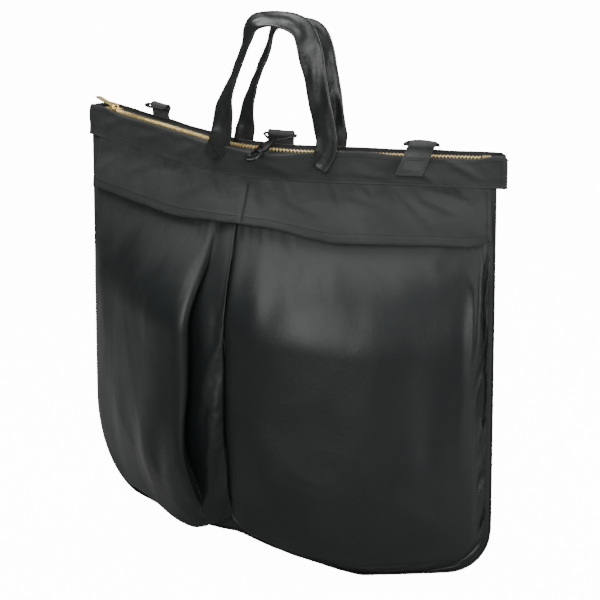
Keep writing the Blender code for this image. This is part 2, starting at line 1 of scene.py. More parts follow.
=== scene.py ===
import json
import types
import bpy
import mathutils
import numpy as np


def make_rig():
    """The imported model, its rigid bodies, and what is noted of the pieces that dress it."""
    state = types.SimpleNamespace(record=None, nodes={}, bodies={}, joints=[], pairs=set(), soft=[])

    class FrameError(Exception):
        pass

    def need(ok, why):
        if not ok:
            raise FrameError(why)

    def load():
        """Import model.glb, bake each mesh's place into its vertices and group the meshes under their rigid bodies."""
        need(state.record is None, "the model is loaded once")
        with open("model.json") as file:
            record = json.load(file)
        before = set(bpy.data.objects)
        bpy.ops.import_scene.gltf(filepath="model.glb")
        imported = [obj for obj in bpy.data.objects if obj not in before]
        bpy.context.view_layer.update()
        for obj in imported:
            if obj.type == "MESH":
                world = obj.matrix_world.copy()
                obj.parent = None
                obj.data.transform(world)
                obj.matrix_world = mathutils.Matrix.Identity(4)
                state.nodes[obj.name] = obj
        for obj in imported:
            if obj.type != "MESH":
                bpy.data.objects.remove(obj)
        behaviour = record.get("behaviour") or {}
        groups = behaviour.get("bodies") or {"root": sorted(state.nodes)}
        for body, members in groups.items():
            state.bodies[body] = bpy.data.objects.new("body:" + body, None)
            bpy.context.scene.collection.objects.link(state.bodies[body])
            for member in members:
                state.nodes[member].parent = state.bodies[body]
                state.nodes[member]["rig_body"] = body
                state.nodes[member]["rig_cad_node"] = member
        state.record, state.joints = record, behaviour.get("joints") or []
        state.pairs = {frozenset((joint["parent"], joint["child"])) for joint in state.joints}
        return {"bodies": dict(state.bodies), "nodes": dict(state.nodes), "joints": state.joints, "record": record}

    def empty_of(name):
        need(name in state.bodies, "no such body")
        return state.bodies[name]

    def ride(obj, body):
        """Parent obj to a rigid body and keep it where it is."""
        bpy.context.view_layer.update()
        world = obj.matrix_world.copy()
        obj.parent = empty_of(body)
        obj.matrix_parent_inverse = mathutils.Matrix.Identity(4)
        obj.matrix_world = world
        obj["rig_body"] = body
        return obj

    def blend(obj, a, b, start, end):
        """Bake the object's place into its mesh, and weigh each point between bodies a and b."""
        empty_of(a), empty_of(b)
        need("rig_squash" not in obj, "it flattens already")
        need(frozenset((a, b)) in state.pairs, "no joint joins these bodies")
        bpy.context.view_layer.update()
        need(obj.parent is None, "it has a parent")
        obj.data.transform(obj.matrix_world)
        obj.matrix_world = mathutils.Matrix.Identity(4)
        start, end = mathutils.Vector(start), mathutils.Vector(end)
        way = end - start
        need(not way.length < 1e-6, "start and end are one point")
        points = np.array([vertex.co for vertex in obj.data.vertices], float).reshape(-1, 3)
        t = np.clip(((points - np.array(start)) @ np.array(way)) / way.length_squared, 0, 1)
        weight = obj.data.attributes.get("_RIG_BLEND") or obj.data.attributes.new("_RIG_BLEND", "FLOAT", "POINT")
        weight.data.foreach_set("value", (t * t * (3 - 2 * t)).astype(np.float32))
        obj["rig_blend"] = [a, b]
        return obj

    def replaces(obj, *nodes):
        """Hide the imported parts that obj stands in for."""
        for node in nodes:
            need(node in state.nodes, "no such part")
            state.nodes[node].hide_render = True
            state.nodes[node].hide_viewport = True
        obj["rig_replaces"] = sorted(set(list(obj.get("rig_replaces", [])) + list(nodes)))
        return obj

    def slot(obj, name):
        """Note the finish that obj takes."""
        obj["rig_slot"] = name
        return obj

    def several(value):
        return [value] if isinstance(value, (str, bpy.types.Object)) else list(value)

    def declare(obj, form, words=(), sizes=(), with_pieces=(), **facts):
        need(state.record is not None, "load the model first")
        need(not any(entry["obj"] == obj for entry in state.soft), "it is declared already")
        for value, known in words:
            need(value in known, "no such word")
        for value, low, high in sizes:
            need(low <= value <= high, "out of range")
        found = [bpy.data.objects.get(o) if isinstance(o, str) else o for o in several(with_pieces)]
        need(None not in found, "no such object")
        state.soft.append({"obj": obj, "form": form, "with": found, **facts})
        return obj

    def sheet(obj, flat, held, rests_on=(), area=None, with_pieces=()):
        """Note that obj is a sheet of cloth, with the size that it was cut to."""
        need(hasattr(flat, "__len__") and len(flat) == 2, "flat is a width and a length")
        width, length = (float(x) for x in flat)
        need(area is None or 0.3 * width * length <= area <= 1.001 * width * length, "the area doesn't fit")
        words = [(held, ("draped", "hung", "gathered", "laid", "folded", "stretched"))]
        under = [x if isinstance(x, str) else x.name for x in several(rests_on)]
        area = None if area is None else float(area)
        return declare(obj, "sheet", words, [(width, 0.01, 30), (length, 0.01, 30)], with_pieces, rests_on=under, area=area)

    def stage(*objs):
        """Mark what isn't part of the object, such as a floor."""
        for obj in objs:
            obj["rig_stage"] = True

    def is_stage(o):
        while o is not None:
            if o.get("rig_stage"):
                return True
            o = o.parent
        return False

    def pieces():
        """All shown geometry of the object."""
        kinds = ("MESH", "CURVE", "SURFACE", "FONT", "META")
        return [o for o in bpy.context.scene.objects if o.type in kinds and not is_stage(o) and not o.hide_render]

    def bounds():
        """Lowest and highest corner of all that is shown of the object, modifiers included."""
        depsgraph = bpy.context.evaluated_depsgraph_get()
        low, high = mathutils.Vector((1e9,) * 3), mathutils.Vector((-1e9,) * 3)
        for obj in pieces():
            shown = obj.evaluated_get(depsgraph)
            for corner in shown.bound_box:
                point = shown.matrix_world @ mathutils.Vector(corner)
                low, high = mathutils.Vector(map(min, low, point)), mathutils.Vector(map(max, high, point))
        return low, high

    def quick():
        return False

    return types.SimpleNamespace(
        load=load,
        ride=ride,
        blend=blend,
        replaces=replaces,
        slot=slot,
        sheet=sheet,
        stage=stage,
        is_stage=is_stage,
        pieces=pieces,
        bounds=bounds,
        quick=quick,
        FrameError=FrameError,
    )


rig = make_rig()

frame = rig.load()
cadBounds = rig.bounds()

import json
import math

import bmesh
import bpy
from mathutils import Matrix, Vector, noise

# The bag is worked out flat, in sewing coordinates, and folded at its centre seam:
# u runs along the width, w through the thickness (negative is the front), h is the height.
bag = {
    "reach": {-1: 0.28, 1: 0.273},
    "top": 0.494,
    "seam": 0.458,
    "edgeHalfDepth": 0.0125,
    "bulge": 0.036,
    "centreBottom": 0.050,
    "sag": {-1: 0.004, 1: 0.052},
    "sagPeak": 0.20,
    "corner": {-1: 0.11, 1: 0.048},
    "lean": 0.036,
    "bend": math.radians(26),
    "bendReach": 0.07,
    "cloth": 0.0016,
    "gap": 0.0004,
    "mouthSpread": 0.008,
    "mouthDip": 0.005,
}
joints = {joint["name"]: joint for joint in frame["record"]["behaviour"]["joints"]}


def clamp(value, low=0.0, high=1.0):
    return max(low, min(high, value))


def smooth(value):
    t = clamp(value)
    return t * t * (3 - 2 * t)


def mix(a, b, t):
    return a + (b - a) * t


def sideOf(u):
    return -1 if u < 0 else 1


def spline(values, t):
    # a smooth curve through evenly spaced values
    at = clamp(t) * (len(values) - 1)
    n = min(int(at), len(values) - 2)
    before, start, end = values[max(n - 1, 0)], values[n], values[n + 1]
    after, f = values[min(n + 2, len(values) - 1)], at - n
    return 0.5 * (
        2 * start
        + (end - before) * f
        + (2 * before - 5 * start + 4 * end - after) * f**2
        + (3 * start - before - 3 * end + after) * f**3
    )


def foldedAt(u):
    radius = bag["bendReach"] / bag["bend"]
    turn = clamp(u / radius, -bag["bend"], bag["bend"])
    past = u - radius * turn
    x = radius * math.sin(turn) + past * math.cos(turn)
    y = radius * (1 - math.cos(turn)) + past * math.sin(turn)
    return x, y, turn


def flatPlace(u, w, h):
    x, y, turn = foldedAt(u)
    return Vector((x - w * math.sin(turn), y + w * math.cos(turn), h - bag["lean"] * u))


# the frame says where the flap's hinge lies, and with it the whole bag
flapHinge = flatPlace(-0.27, -bag["edgeHalfDepth"] - 0.0016, bag["seam"])
bagOffset = Vector(joints["flap_left_lift"]["pos_m"]) - flapHinge


def place(u, w, h):
    return flatPlace(u, w, h) + bagOffset


def standing(u, w, h):
    # X along the width, Y to the rear, Z up
    slope = Matrix.Rotation(math.atan(bag["lean"]), 4, "Y")
    return Matrix.Translation(place(u, w, h)) @ Matrix.Rotation(foldedAt(u)[2], 4, "Z") @ slope


def rounded(u, low, high, left, right):
    if u < low + left:
        return left - math.sqrt(max(left**2 - (low + left - u) ** 2, 0))
    if u > high - right:
        return right - math.sqrt(max(right**2 - (u - high + right) ** 2, 0))
    return 0.0


def sagging(u):
    drop = bag["sag"][sideOf(u)] * math.sin(min(abs(u) / bag["sagPeak"], 1) * math.pi / 2)
    return max(bag["centreBottom"] - drop, bag["lean"] * u + bag["cloth"] + 2 * bag["gap"])


def bodyBottom(u, grow=0.0):
    low, high = -bag["reach"][-1] - grow, bag["reach"][1] + grow
    return sagging(u) - grow + rounded(u, low, high, bag["corner"][-1] + grow, bag["corner"][1] + grow)


def bodyDepth(u, h):
    across = max(1 - (u / bag["reach"][sideOf(u)]) ** 2, 0) ** 0.75
    down = clamp((bag["seam"] - h) / (bag["seam"] - sagging(u)))
    swell = smooth(down / 0.42) * (1 - 0.34 * smooth((down - 0.66) / 0.34))
    return bag["edgeHalfDepth"] + bag["bulge"] * across * swell


def spreadOf(u):
    # how far the handles pull the mouth open
    return math.exp(-(((u - 0.015) / 0.06) ** 2))


def bandTop(u, facing):
    parted = spreadOf(u) * (facing < 0)
    w = facing * (bag["edgeHalfDepth"] + bag["mouthSpread"] * parted)
    return w, bag["top"] - bag["mouthDip"] * parted


def bandDepth(u, h, facing):
    w, top = bandTop(u, facing)
    return mix(bag["edgeHalfDepth"], abs(w), clamp((h - bag["seam"]) / (top - bag["seam"])))


def creased(u, h, creases):
    # soft folds: each runs from one point to another with a width and a height
    total = 0.0
    for u0, h0, u1, h1, width, height in creases:
        du, dh = u1 - u0, h1 - h0
        along = clamp(((u - u0) * du + (h - h0) * dh) / (du * du + dh * dh))
        away = math.hypot(u - u0 - along * du, h - h0 - along * dh)
        if away < 3 * width:
            total += height * math.exp(-((away / width) ** 2)) * math.sin(math.pi * (0.08 + 0.84 * along))
    return total


def rumple(u, h, seed, size=0.05, stretch=0.45, depth=0.0015):
    # shallow waves of limp cloth, longer up and down than across
    at = Vector((u / size, h * stretch / size, seed))
    return depth * noise.fractal(at, 1.0, 2.1, 3)


# meshes

def makeObject(name, points, faces, cuts=None):
    mesh = bpy.data.meshes.new(name)
    mesh.from_pydata(points, [], faces)
    if cuts:
        layer = mesh.uv_layers.new(name="cut")
        for loop in mesh.loops:
            layer.data[loop.index].uv = cuts[loop.vertex_index]
    mesh.shade_smooth()
    made = bpy.data.objects.new(name, mesh)
    bpy.context.scene.collection.objects.link(made)
    return made


def clothGrid(name, surface, columns, rows, cutSize, turned=False):
    # a panel of cloth: surface(a, b) with a and b from 0 to 1, and its cut size for the weave
    points, cuts = [], []
    for row in range(rows + 1):
        for col in range(columns + 1):
            a, b = col / columns, row / rows
            points.append(surface(a, b))
            cuts.append((a * cutSize[0], b * cutSize[1]))
    faces = []
    for row in range(rows):
        for col in range(columns):
            i = row * (columns + 1) + col
            face = (i, i + 1, i + columns + 2, i + columns + 1)
            faces.append(face[::-1] if turned else face)
    made = makeObject(name, points, faces, cuts)
    return {"piece": made, "columns": columns, "rows": rows, "turned": turned}


def onGrid(grid, a, b):
    # the point and the outward normal of a panel at a, b
    columns, rows, vertices = grid["columns"], grid["rows"], grid["piece"].data.vertices
    x, y = clamp(a) * columns, clamp(b) * rows
    col, row = min(int(x), columns - 1), min(int(y), rows - 1)
    fx, fy = x - col, y - row
    i = row * (columns + 1) + col
    p00, p10 = vertices[i].co, vertices[i + 1].co
    p01, p11 = vertices[i + columns + 1].co, vertices[i + columns + 2].co
    point = p00.lerp(p10, fx).lerp(p01.lerp(p11, fx), fy)
    normal = (p10 - p00 + p11 - p01).cross(p01 - p00 + p11 - p10).normalized()
    return point, -normal if grid["turned"] else normal


def loft(name, rings, cuts=None, closed=False):
    # a tube through rings of points, with closed ends unless it is itself a loop
    points = [p for ring in rings for p in ring]
    n, last = len(rings[0]), len(rings) - 1
    faces = []
    for r in range(len(rings) if closed else last):
        s = (r + 1) % len(rings)
        for k in range(n):
            m = (k + 1) % n
            faces.append((r * n + k, r * n + m, s * n + m, s * n + k))
    if not closed:
        faces.append(tuple(range(n))[::-1])
        faces.append(tuple(last * n + k for k in range(n)))
    return makeObject(name, points, faces, cuts)


def tubeRings(path, radius, sides=6, flat=1.0, taper=False):
    rings, last = [], len(path) - 1
    side = None
    for n, point in enumerate(path):
        ahead = (path[min(n + 1, last)] - path[max(n - 1, 0)]).normalized()
        if side is None:
            side = ahead.orthogonal()
        side = (side - ahead * side.dot(ahead)).normalized()
        other = ahead.cross(side)
        size = radius
        if taper and n in (0, last):
            size = radius * 0.35
        ring = []
        for k in range(sides):
            angle = 2 * math.pi * k / sides
            ring.append(point + side * size * math.cos(angle) + other * size * flat * math.sin(angle))
        rings.append(ring)
    return rings


def thicken(piece, thickness):
    # inwards, so that the outer face stays where it was drawn
    solid = piece.modifiers.new("Thickness", "SOLIDIFY")
    solid.thickness = thickness
    solid.offset = -1.0
    return piece


def soften(piece, levels=1):
    finer = piece.modifiers.new("Finer", "SUBSURF")
    finer.levels = levels
    finer.render_levels = levels
    return piece


# how each kind of panel is relaxed: its spare cloth as a share, the push from inside, and the
# furthest that any point may move
relaxing = {
    "rear": {"excess": 0.035, "pressure": 1.2, "gravity": 0.3, "frames": 16, "cap": 0.008, "bending": 0.3},
    "pocket": {"excess": 0.018, "pressure": 0.7, "gravity": 0.5, "frames": 16, "cap": 0.0035, "bending": 0.3},
    "flap": {"excess": 0.012, "pressure": 0.3, "gravity": 0.2, "frames": 10, "cap": 0.0012, "bending": 0.8},
}


def relaxCloth(piece, held, how):
    # the sewn edges hold still while the spare cloth between them buckles and sags
    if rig.quick():
        return
    cap, frames = how["cap"], how["frames"]
    group = piece.vertex_groups.new(name="sewn")
    for index, hold in held.items():
        group.add([index], hold, "REPLACE")
    cloth = piece.modifiers.new("Relax", "CLOTH")
    settings = cloth.settings
    settings.quality = 6
    settings.mass = 0.12
    settings.tension_stiffness = 20
    settings.compression_stiffness = 20
    settings.shear_stiffness = 6
    settings.bending_stiffness = how["bending"]
    settings.tension_damping = 8
    settings.compression_damping = 8
    settings.air_damping = 2.5
    settings.vertex_group_mass = "sewn"
    settings.shrink_min = -how["excess"]
    settings.use_pressure = True
    settings.uniform_pressure_force = how["pressure"]
    settings.effector_weights.gravity = how["gravity"]
    cloth.collision_settings.use_collision = False
    cloth.point_cache.frame_start = 1
    cloth.point_cache.frame_end = frames
    scene = bpy.context.scene
    for step in range(1, frames + 1):
        scene.frame_set(step)
    graph = bpy.context.evaluated_depsgraph_get()
    relaxed = [v.co.copy() for v in piece.evaluated_get(graph).data.vertices]
    piece.modifiers.remove(cloth)
    scene.frame_set(1)
    for vertex, there in zip(piece.data.vertices, relaxed):
        step = there - vertex.co
        if step.length > cap:
            step *= cap / step.length
        vertex.co += step
    piece.vertex_groups.clear()
    print("relaxed", piece.name)


# threads: every row of stitches goes into one mesh for each body it belongs to

stitching = {"pitch": 0.0036, "length": 0.0027, "radius": 0.00032, "lift": 0.00025}
threads = {}


def addStitches(store, path, normals, pitch=stitching["pitch"]):
    lengths = [0.0]
    for n in range(1, len(path)):
        lengths.append(lengths[-1] + (path[n] - path[n - 1]).length)

    def at(distance):
        n = 1
        while n < len(path) - 1 and lengths[n] < distance:
            n += 1
        t = clamp((distance - lengths[n - 1]) / max(lengths[n] - lengths[n - 1], 1e-9))
        return path[n - 1].lerp(path[n], t), normals[n - 1].lerp(normals[n], t).normalized()

    rows = threads.setdefault(store, [])
    distance = pitch * 0.5
    while distance < lengths[-1] - stitching["length"]:
        line = []
        for step, rise in ((0.0, -0.6), (0.2, 0.6), (0.5, 1.0), (0.8, 0.6), (1.0, -0.6)):
            point, normal = at(distance + step * stitching["length"])
            line.append(point + normal * stitching["lift"] * rise)
        rows.append(tubeRings(line, stitching["radius"], 5, taper=True))
        distance += pitch


def stitchGrid(store, grid, route, steps=160):
    # a row of stitches along a route over a panel
    spots = [onGrid(grid, *route(n / steps)) for n in range(steps + 1)]
    addStitches(store, [point for point, normal in spots], [normal for point, normal in spots])


def makeThreads(store):
    points, faces = [], []
    for rings in threads[store]:
        start, n = len(points), len(rings[0])
        for ring in rings:
            points += ring
        for r in range(len(rings) - 1):
            for k in range(n):
                m = (k + 1) % n
                a, b = start + r * n, start + (r + 1) * n
                faces.append((a + k, a + m, b + m, b + k))
        end = start + (len(rings) - 1) * n
        faces.append(tuple(start + k for k in range(n))[::-1])
        faces.append(tuple(end + k for k in range(n)))
    made = makeObject("stitches" + store[0].upper() + store[1:], points, faces)
    made.data.materials.append(materials["thread"])
    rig.slot(made, "nylon")
    return made


# shader groups

def newGroup(name, inputs, outputs):
    tree = bpy.data.node_groups.new(name, "ShaderNodeTree")
    for label, kind, value in inputs:
        socket = tree.interface.new_socket(name=label, in_out="INPUT", socket_type=kind)
        if value is not None:
            socket.default_value = value
    for label, kind in outputs:
        tree.interface.new_socket(name=label, in_out="OUTPUT", socket_type=kind)
    return tree, tree.nodes.new("NodeGroupInput"), tree.nodes.new("NodeGroupOutput")


def mathNode(tree, operation, first, second=None):
    node = tree.nodes.new("ShaderNodeMath")
    node.operation = operation
    for socket, value in zip(node.inputs, (first, second)):
        if value is None:
            continue
        if isinstance(value, (int, float)):
            socket.default_value = value
        else:
            tree.links.new(value, socket)
    return node.outputs[0]


def noiseNode(tree, vector, scale, detail=3.0, roughness=0.5, distortion=0.0):
    node = tree.nodes.new("ShaderNodeTexNoise")
    node.inputs["Detail"].default_value = detail
    node.inputs["Roughness"].default_value = roughness
    node.inputs["Distortion"].default_value = distortion
    tree.links.new(vector, node.inputs["Vector"])
    if isinstance(scale, (int, float)):
        node.inputs["Scale"].default_value = scale
    else:
        tree.links.new(scale, node.inputs["Scale"])
    return node.outputs["Fac"]


def makeWeaveGroup():
    # plain weave from the cut's own metres: threads across and along, as a height
    tree, given, out = newGroup(
        "weave",
        [
            ("Vector", "NodeSocketVector", None),
            ("Threads", "NodeSocketFloat", 2200.0),
            ("Ribs", "NodeSocketFloat", 0.0),
        ],
        [("Height", "NodeSocketFloat")],
    )
    parts = tree.nodes.new("ShaderNodeSeparateXYZ")
    tree.links.new(given.outputs["Vector"], parts.inputs[0])
    warp = mathNode(tree, "SINE", mathNode(tree, "MULTIPLY", parts.outputs["X"], given.outputs["Threads"]))
    weft = mathNode(tree, "SINE", mathNode(tree, "MULTIPLY", parts.outputs["Y"], given.outputs["Threads"]))
    cloth = mathNode(tree, "MULTIPLY", warp, weft)
    ribs = mathNode(tree, "ABSOLUTE", warp)
    blend = tree.nodes.new("ShaderNodeMix")
    tree.links.new(given.outputs["Ribs"], blend.inputs[0])
    tree.links.new(cloth, blend.inputs[2])
    tree.links.new(ribs, blend.inputs[3])
    tree.links.new(blend.outputs[0], out.inputs["Height"])
    return tree


def makeHandledGroup():
    # cloth that has been handled: cloudy patches and fine crinkles
    tree, given, out = newGroup(
        "handled",
        [
            ("Vector", "NodeSocketVector", None),
            ("Patch", "NodeSocketFloat", 9.0),
            ("Crinkle", "NodeSocketFloat", 90.0),
        ],
        [("Cloud", "NodeSocketFloat"), ("Height", "NodeSocketFloat")],
    )
    vector = given.outputs["Vector"]
    cloud = noiseNode(tree, vector, given.outputs["Patch"], 4.0, 0.55, 0.6)
    crinkle = noiseNode(tree, vector, given.outputs["Crinkle"], 4.0, 0.6, 1.4)
    tree.links.new(cloud, out.inputs["Cloud"])
    tree.links.new(crinkle, out.inputs["Height"])
    return tree


def makeScuffGroup():
    # worn metal: fine scratches and rubbed patches
    tree, given, out = newGroup(
        "scuff",
        [("Vector", "NodeSocketVector", None), ("Scale", "NodeSocketFloat", 220.0)],
        [("Rub", "NodeSocketFloat"), ("Height", "NodeSocketFloat")],
    )
    rub = noiseNode(tree, given.outputs["Vector"], given.outputs["Scale"], 5.0, 0.6, 0.5)
    scratch = noiseNode(tree, given.outputs["Vector"], 1600.0, 2.0, 0.5, 2.0)
    tree.links.new(rub, out.inputs["Rub"])
    tree.links.new(scratch, out.inputs["Height"])
    return tree


weaveGroup = makeWeaveGroup()
handledGroup = makeHandledGroup()
scuffGroup = makeScuffGroup()


def groupNode(tree, group, vector, **values):
    node = tree.nodes.new("ShaderNodeGroup")
    node.node_tree = group
    tree.links.new(vector, node.inputs["Vector"])
    for label, value in values.items():
        node.inputs[label].default_value = value
    return node


def rampNode(tree, value, low, high, start=0.3, end=0.7):
    node = tree.nodes.new("ShaderNodeValToRGB")
    node.color_ramp.elements[0].position = start
    node.color_ramp.elements[1].position = end
    node.color_ramp.elements[0].color = (*low, 1)
    node.color_ramp.elements[1].color = (*high, 1)
    tree.links.new(value, node.inputs[0])
    return node.outputs[0]


def rangeNode(tree, value, low, high):
    node = tree.nodes.new("ShaderNodeMapRange")
    tree.links.new(value, node.inputs["Value"])
    node.inputs["From Min"].default_value = 0.3
    node.inputs["From Max"].default_value = 0.7
    node.inputs["To Min"].default_value = low
    node.inputs["To Max"].default_value = high
    return node.outputs[0]


def bumpNode(tree, height, strength, distance, before=None):
    node = tree.nodes.new("ShaderNodeBump")
    node.inputs["Strength"].default_value = strength
    node.inputs["Distance"].default_value = distance
    tree.links.new(height, node.inputs["Height"])
    if before is not None:
        tree.links.new(before, node.inputs["Normal"])
    return node.outputs[0]


clothFinishes = {
    "nylon": {
        "dark": (0.0035, 0.0052, 0.0052), "light": (0.0095, 0.0115, 0.0112), "rough": (0.38, 0.46),
        "threads": 5200.0, "ribs": 0.0, "weave": 0.10, "crinkle": 0.16,
        "sheen": 0.015, "patch": 7.0, "specular": 0.34,
        # painted top light: towards the top of the bag the nylon takes a lighter colour, and a higher roughness
        "rubbed": {"from": (0.375, 0.445), "rough": 0.64, "colour": (0.0240, 0.0262, 0.0257)},
    },
    "matte": {
        "dark": (0.0175, 0.0192, 0.0187), "light": (0.0250, 0.0268, 0.0262), "rough": (0.66, 0.76),
        "threads": 5200.0, "ribs": 0.0, "weave": 0.10, "crinkle": 0.22,
        "sheen": 0.03, "patch": 11.0, "specular": 0.26,
    },
    "satin": {
        "dark": (0.0040, 0.0050, 0.0050), "light": (0.0130, 0.0145, 0.0142), "rough": (0.30, 0.42),
        "threads": 5200.0, "ribs": 0.0, "weave": 0.08, "crinkle": 0.30,
        "sheen": 0.01, "patch": 24.0, "specular": 0.45,
    },
    "webbing": {
        "dark": (0.024, 0.026, 0.026), "light": (0.048, 0.051, 0.050), "rough": (0.62, 0.78),
        "threads": 1900.0, "ribs": 1.0, "weave": 0.9, "crinkle": 0.10,
        "sheen": 0.06, "patch": 30.0, "specular": 0.25,
    },
    "tape": {
        "dark": (0.012, 0.013, 0.013), "light": (0.026, 0.028, 0.027), "rough": (0.70, 0.82),
        "threads": 4200.0, "ribs": 0.6, "weave": 0.6, "crinkle": 0.08,
        "sheen": 0.06, "patch": 30.0, "specular": 0.25,
    },
    "thread": {
        "dark": (0.0035, 0.0045, 0.0045), "light": (0.0090, 0.0100, 0.0100), "rough": (0.55, 0.65),
        "threads": 6000.0, "ribs": 0.5, "weave": 0.3, "crinkle": 0.05,
        "sheen": 0.05, "patch": 60.0, "specular": 0.3,
    },
}
metalFinishes = {
    "brass": {
        "dark": (0.62, 0.45, 0.14), "light": (0.90, 0.72, 0.34), "rough": (0.24, 0.38),
        "metallic": 0.7, "specular": 0.6,
    },
    "blackMetal": {
        "dark": (0.0010, 0.0012, 0.0012), "light": (0.0040, 0.0045, 0.0045), "rough": (0.30, 0.46),
        "metallic": 0.0, "specular": 0.28,
    },
}


def newMaterial(name):
    made = bpy.data.materials.new(name)
    made.use_nodes = True
    return made, made.node_tree, made.node_tree.nodes["Principled BSDF"]


def paintedTopLightMask(tree, vector, cloud, low, high):
    # a height mask for painted top light: the higher on the bag, the lighter the painted colour and the rougher the
    # cloth, with a ragged boundary
    parts = tree.nodes.new("ShaderNodeSeparateXYZ")
    tree.links.new(vector, parts.inputs[0])
    ragged = mathNode(tree, "ADD", parts.outputs["Z"], mathNode(tree, "MULTIPLY", cloud, 0.10))
    span = tree.nodes.new("ShaderNodeMapRange")
    span.interpolation_type = "SMOOTHSTEP"
    span.inputs["From Min"].default_value = low
    span.inputs["From Max"].default_value = high
    tree.links.new(ragged, span.inputs["Value"])
    return span.outputs[0]


def clothMaterial(name, finish):
    made, tree, shader = newMaterial(name)
    vector = tree.nodes.new("ShaderNodeTexCoord").outputs["Object"]
    cut = vector
    if name != "thread":
        unfolded = tree.nodes.new("ShaderNodeUVMap")
        unfolded.uv_map = "cut"
        cut = unfolded.outputs[0]
    handled = groupNode(tree, handledGroup, vector, Patch=finish["patch"])
    weave = groupNode(tree, weaveGroup, cut, Threads=finish["threads"], Ribs=finish["ribs"])
    colour = rampNode(tree, handled.outputs["Cloud"], finish["dark"], finish["light"])
    rough = rangeNode(tree, handled.outputs["Cloud"], finish["rough"][1], finish["rough"][0])
    # painted top light: higher on the bag the colour is mixed towards a lighter one, and the roughness is raised
    if "rubbed" in finish:
        rubbed = finish["rubbed"]
        mask = paintedTopLightMask(tree, vector, handled.outputs["Cloud"], *rubbed["from"])
        duller = tree.nodes.new("ShaderNodeMix")
        duller.inputs[3].default_value = rubbed["rough"]
        tint = tree.nodes.new("ShaderNodeMix")
        tint.data_type = "RGBA"
        tint.inputs[7].default_value = (*rubbed["colour"], 1)
        for node, first, plain in ((duller, 2, rough), (tint, 6, colour)):
            tree.links.new(mask, node.inputs[0])
            tree.links.new(plain, node.inputs[first])
        rough, colour = duller.outputs[0], tint.outputs[2]
    tree.links.new(colour, shader.inputs["Base Color"])
    tree.links.new(rough, shader.inputs["Roughness"])
    fine = bumpNode(tree, weave.outputs["Height"], finish["weave"], 0.00015)
    crinkled = bumpNode(tree, handled.outputs["Height"], finish["crinkle"], 0.0012, fine)
    tree.links.new(crinkled, shader.inputs["Normal"])
    shader.inputs["Sheen Weight"].default_value = finish["sheen"]
    shader.inputs["Sheen Roughness"].default_value = 0.45
    shader.inputs["Specular IOR Level"].default_value = finish["specular"]
    return made


def metalMaterial(name, finish):
    made, tree, shader = newMaterial(name)
    vector = tree.nodes.new("ShaderNodeTexCoord").outputs["Object"]
    scuff = groupNode(tree, scuffGroup, vector)
    colour = rampNode(tree, scuff.outputs["Rub"], finish["dark"], finish["light"])
    tree.links.new(colour, shader.inputs["Base Color"])
    tree.links.new(rangeNode(tree, scuff.outputs["Rub"], *finish["rough"]), shader.inputs["Roughness"])
    tree.links.new(bumpNode(tree, scuff.outputs["Height"], 0.08, 0.0002), shader.inputs["Normal"])
    shader.inputs["Metallic"].default_value = finish["metallic"]
    shader.inputs["Specular IOR Level"].default_value = finish["specular"]
    return made


materials = {name: clothMaterial(name, finish) for name, finish in clothFinishes.items()}
for metalName, metalFinish in metalFinishes.items():
    materials[metalName] = metalMaterial(metalName, metalFinish)
print("materials made")


def finishPiece(piece, material, slot, body=None, nodes=()):
    piece.data.materials.clear()
    piece.data.materials.append(materials[material])
    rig.slot(piece, slot)
    if body:
        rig.ride(piece, body)
    if nodes:
        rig.replaces(piece, *nodes)
    return piece


# camera, floor and light

view = {
    "azimuth": 26.03,
    "elevation": 13.68,
    "distance": 3.183,
    "lens": 168.6,
    "target": (0.0491, 0.0, 0.3147),
}
studio = {
    "world": 0.09,
    "backdrop": 14.0,
    "floor": 0.26,
    "floorGlow": 14.0,
    "lamps": {
        "key": {"at": (0.95, -2.60, 1.50), "size": (1.9, 2.3), "power": 82},
        "top": {"at": (-0.25, -0.55, 2.0), "size": (1.3, 1.1), "power": 34},
        "left": {"at": (-1.7, -1.0, 2.9), "size": (1.4, 0.9), "power": 34},
        "right": {"at": (2.5, 0.4, 1.1), "size": (0.8, 1.8), "power": 66},
        "back": {"at": (0.6, 2.2, 2.2), "size": (1.8, 1.8), "power": 40},
    },
}


def setCamera():
    a, e = math.radians(view["azimuth"]), math.radians(view["elevation"])
    back = Vector((math.sin(a) * math.cos(e), -math.cos(a) * math.cos(e), math.sin(e)))
    data = bpy.data.cameras.new("camera")
    data.lens = view["lens"]
    data.sensor_width = 36
    camera = bpy.data.objects.new("camera", data)
    camera.location = Vector(view["target"]) + back * view["distance"]
    camera.rotation_euler = (-back).to_track_quat("-Z", "Y").to_euler()
    bpy.context.scene.collection.objects.link(camera)
    bpy.context.scene.camera = camera


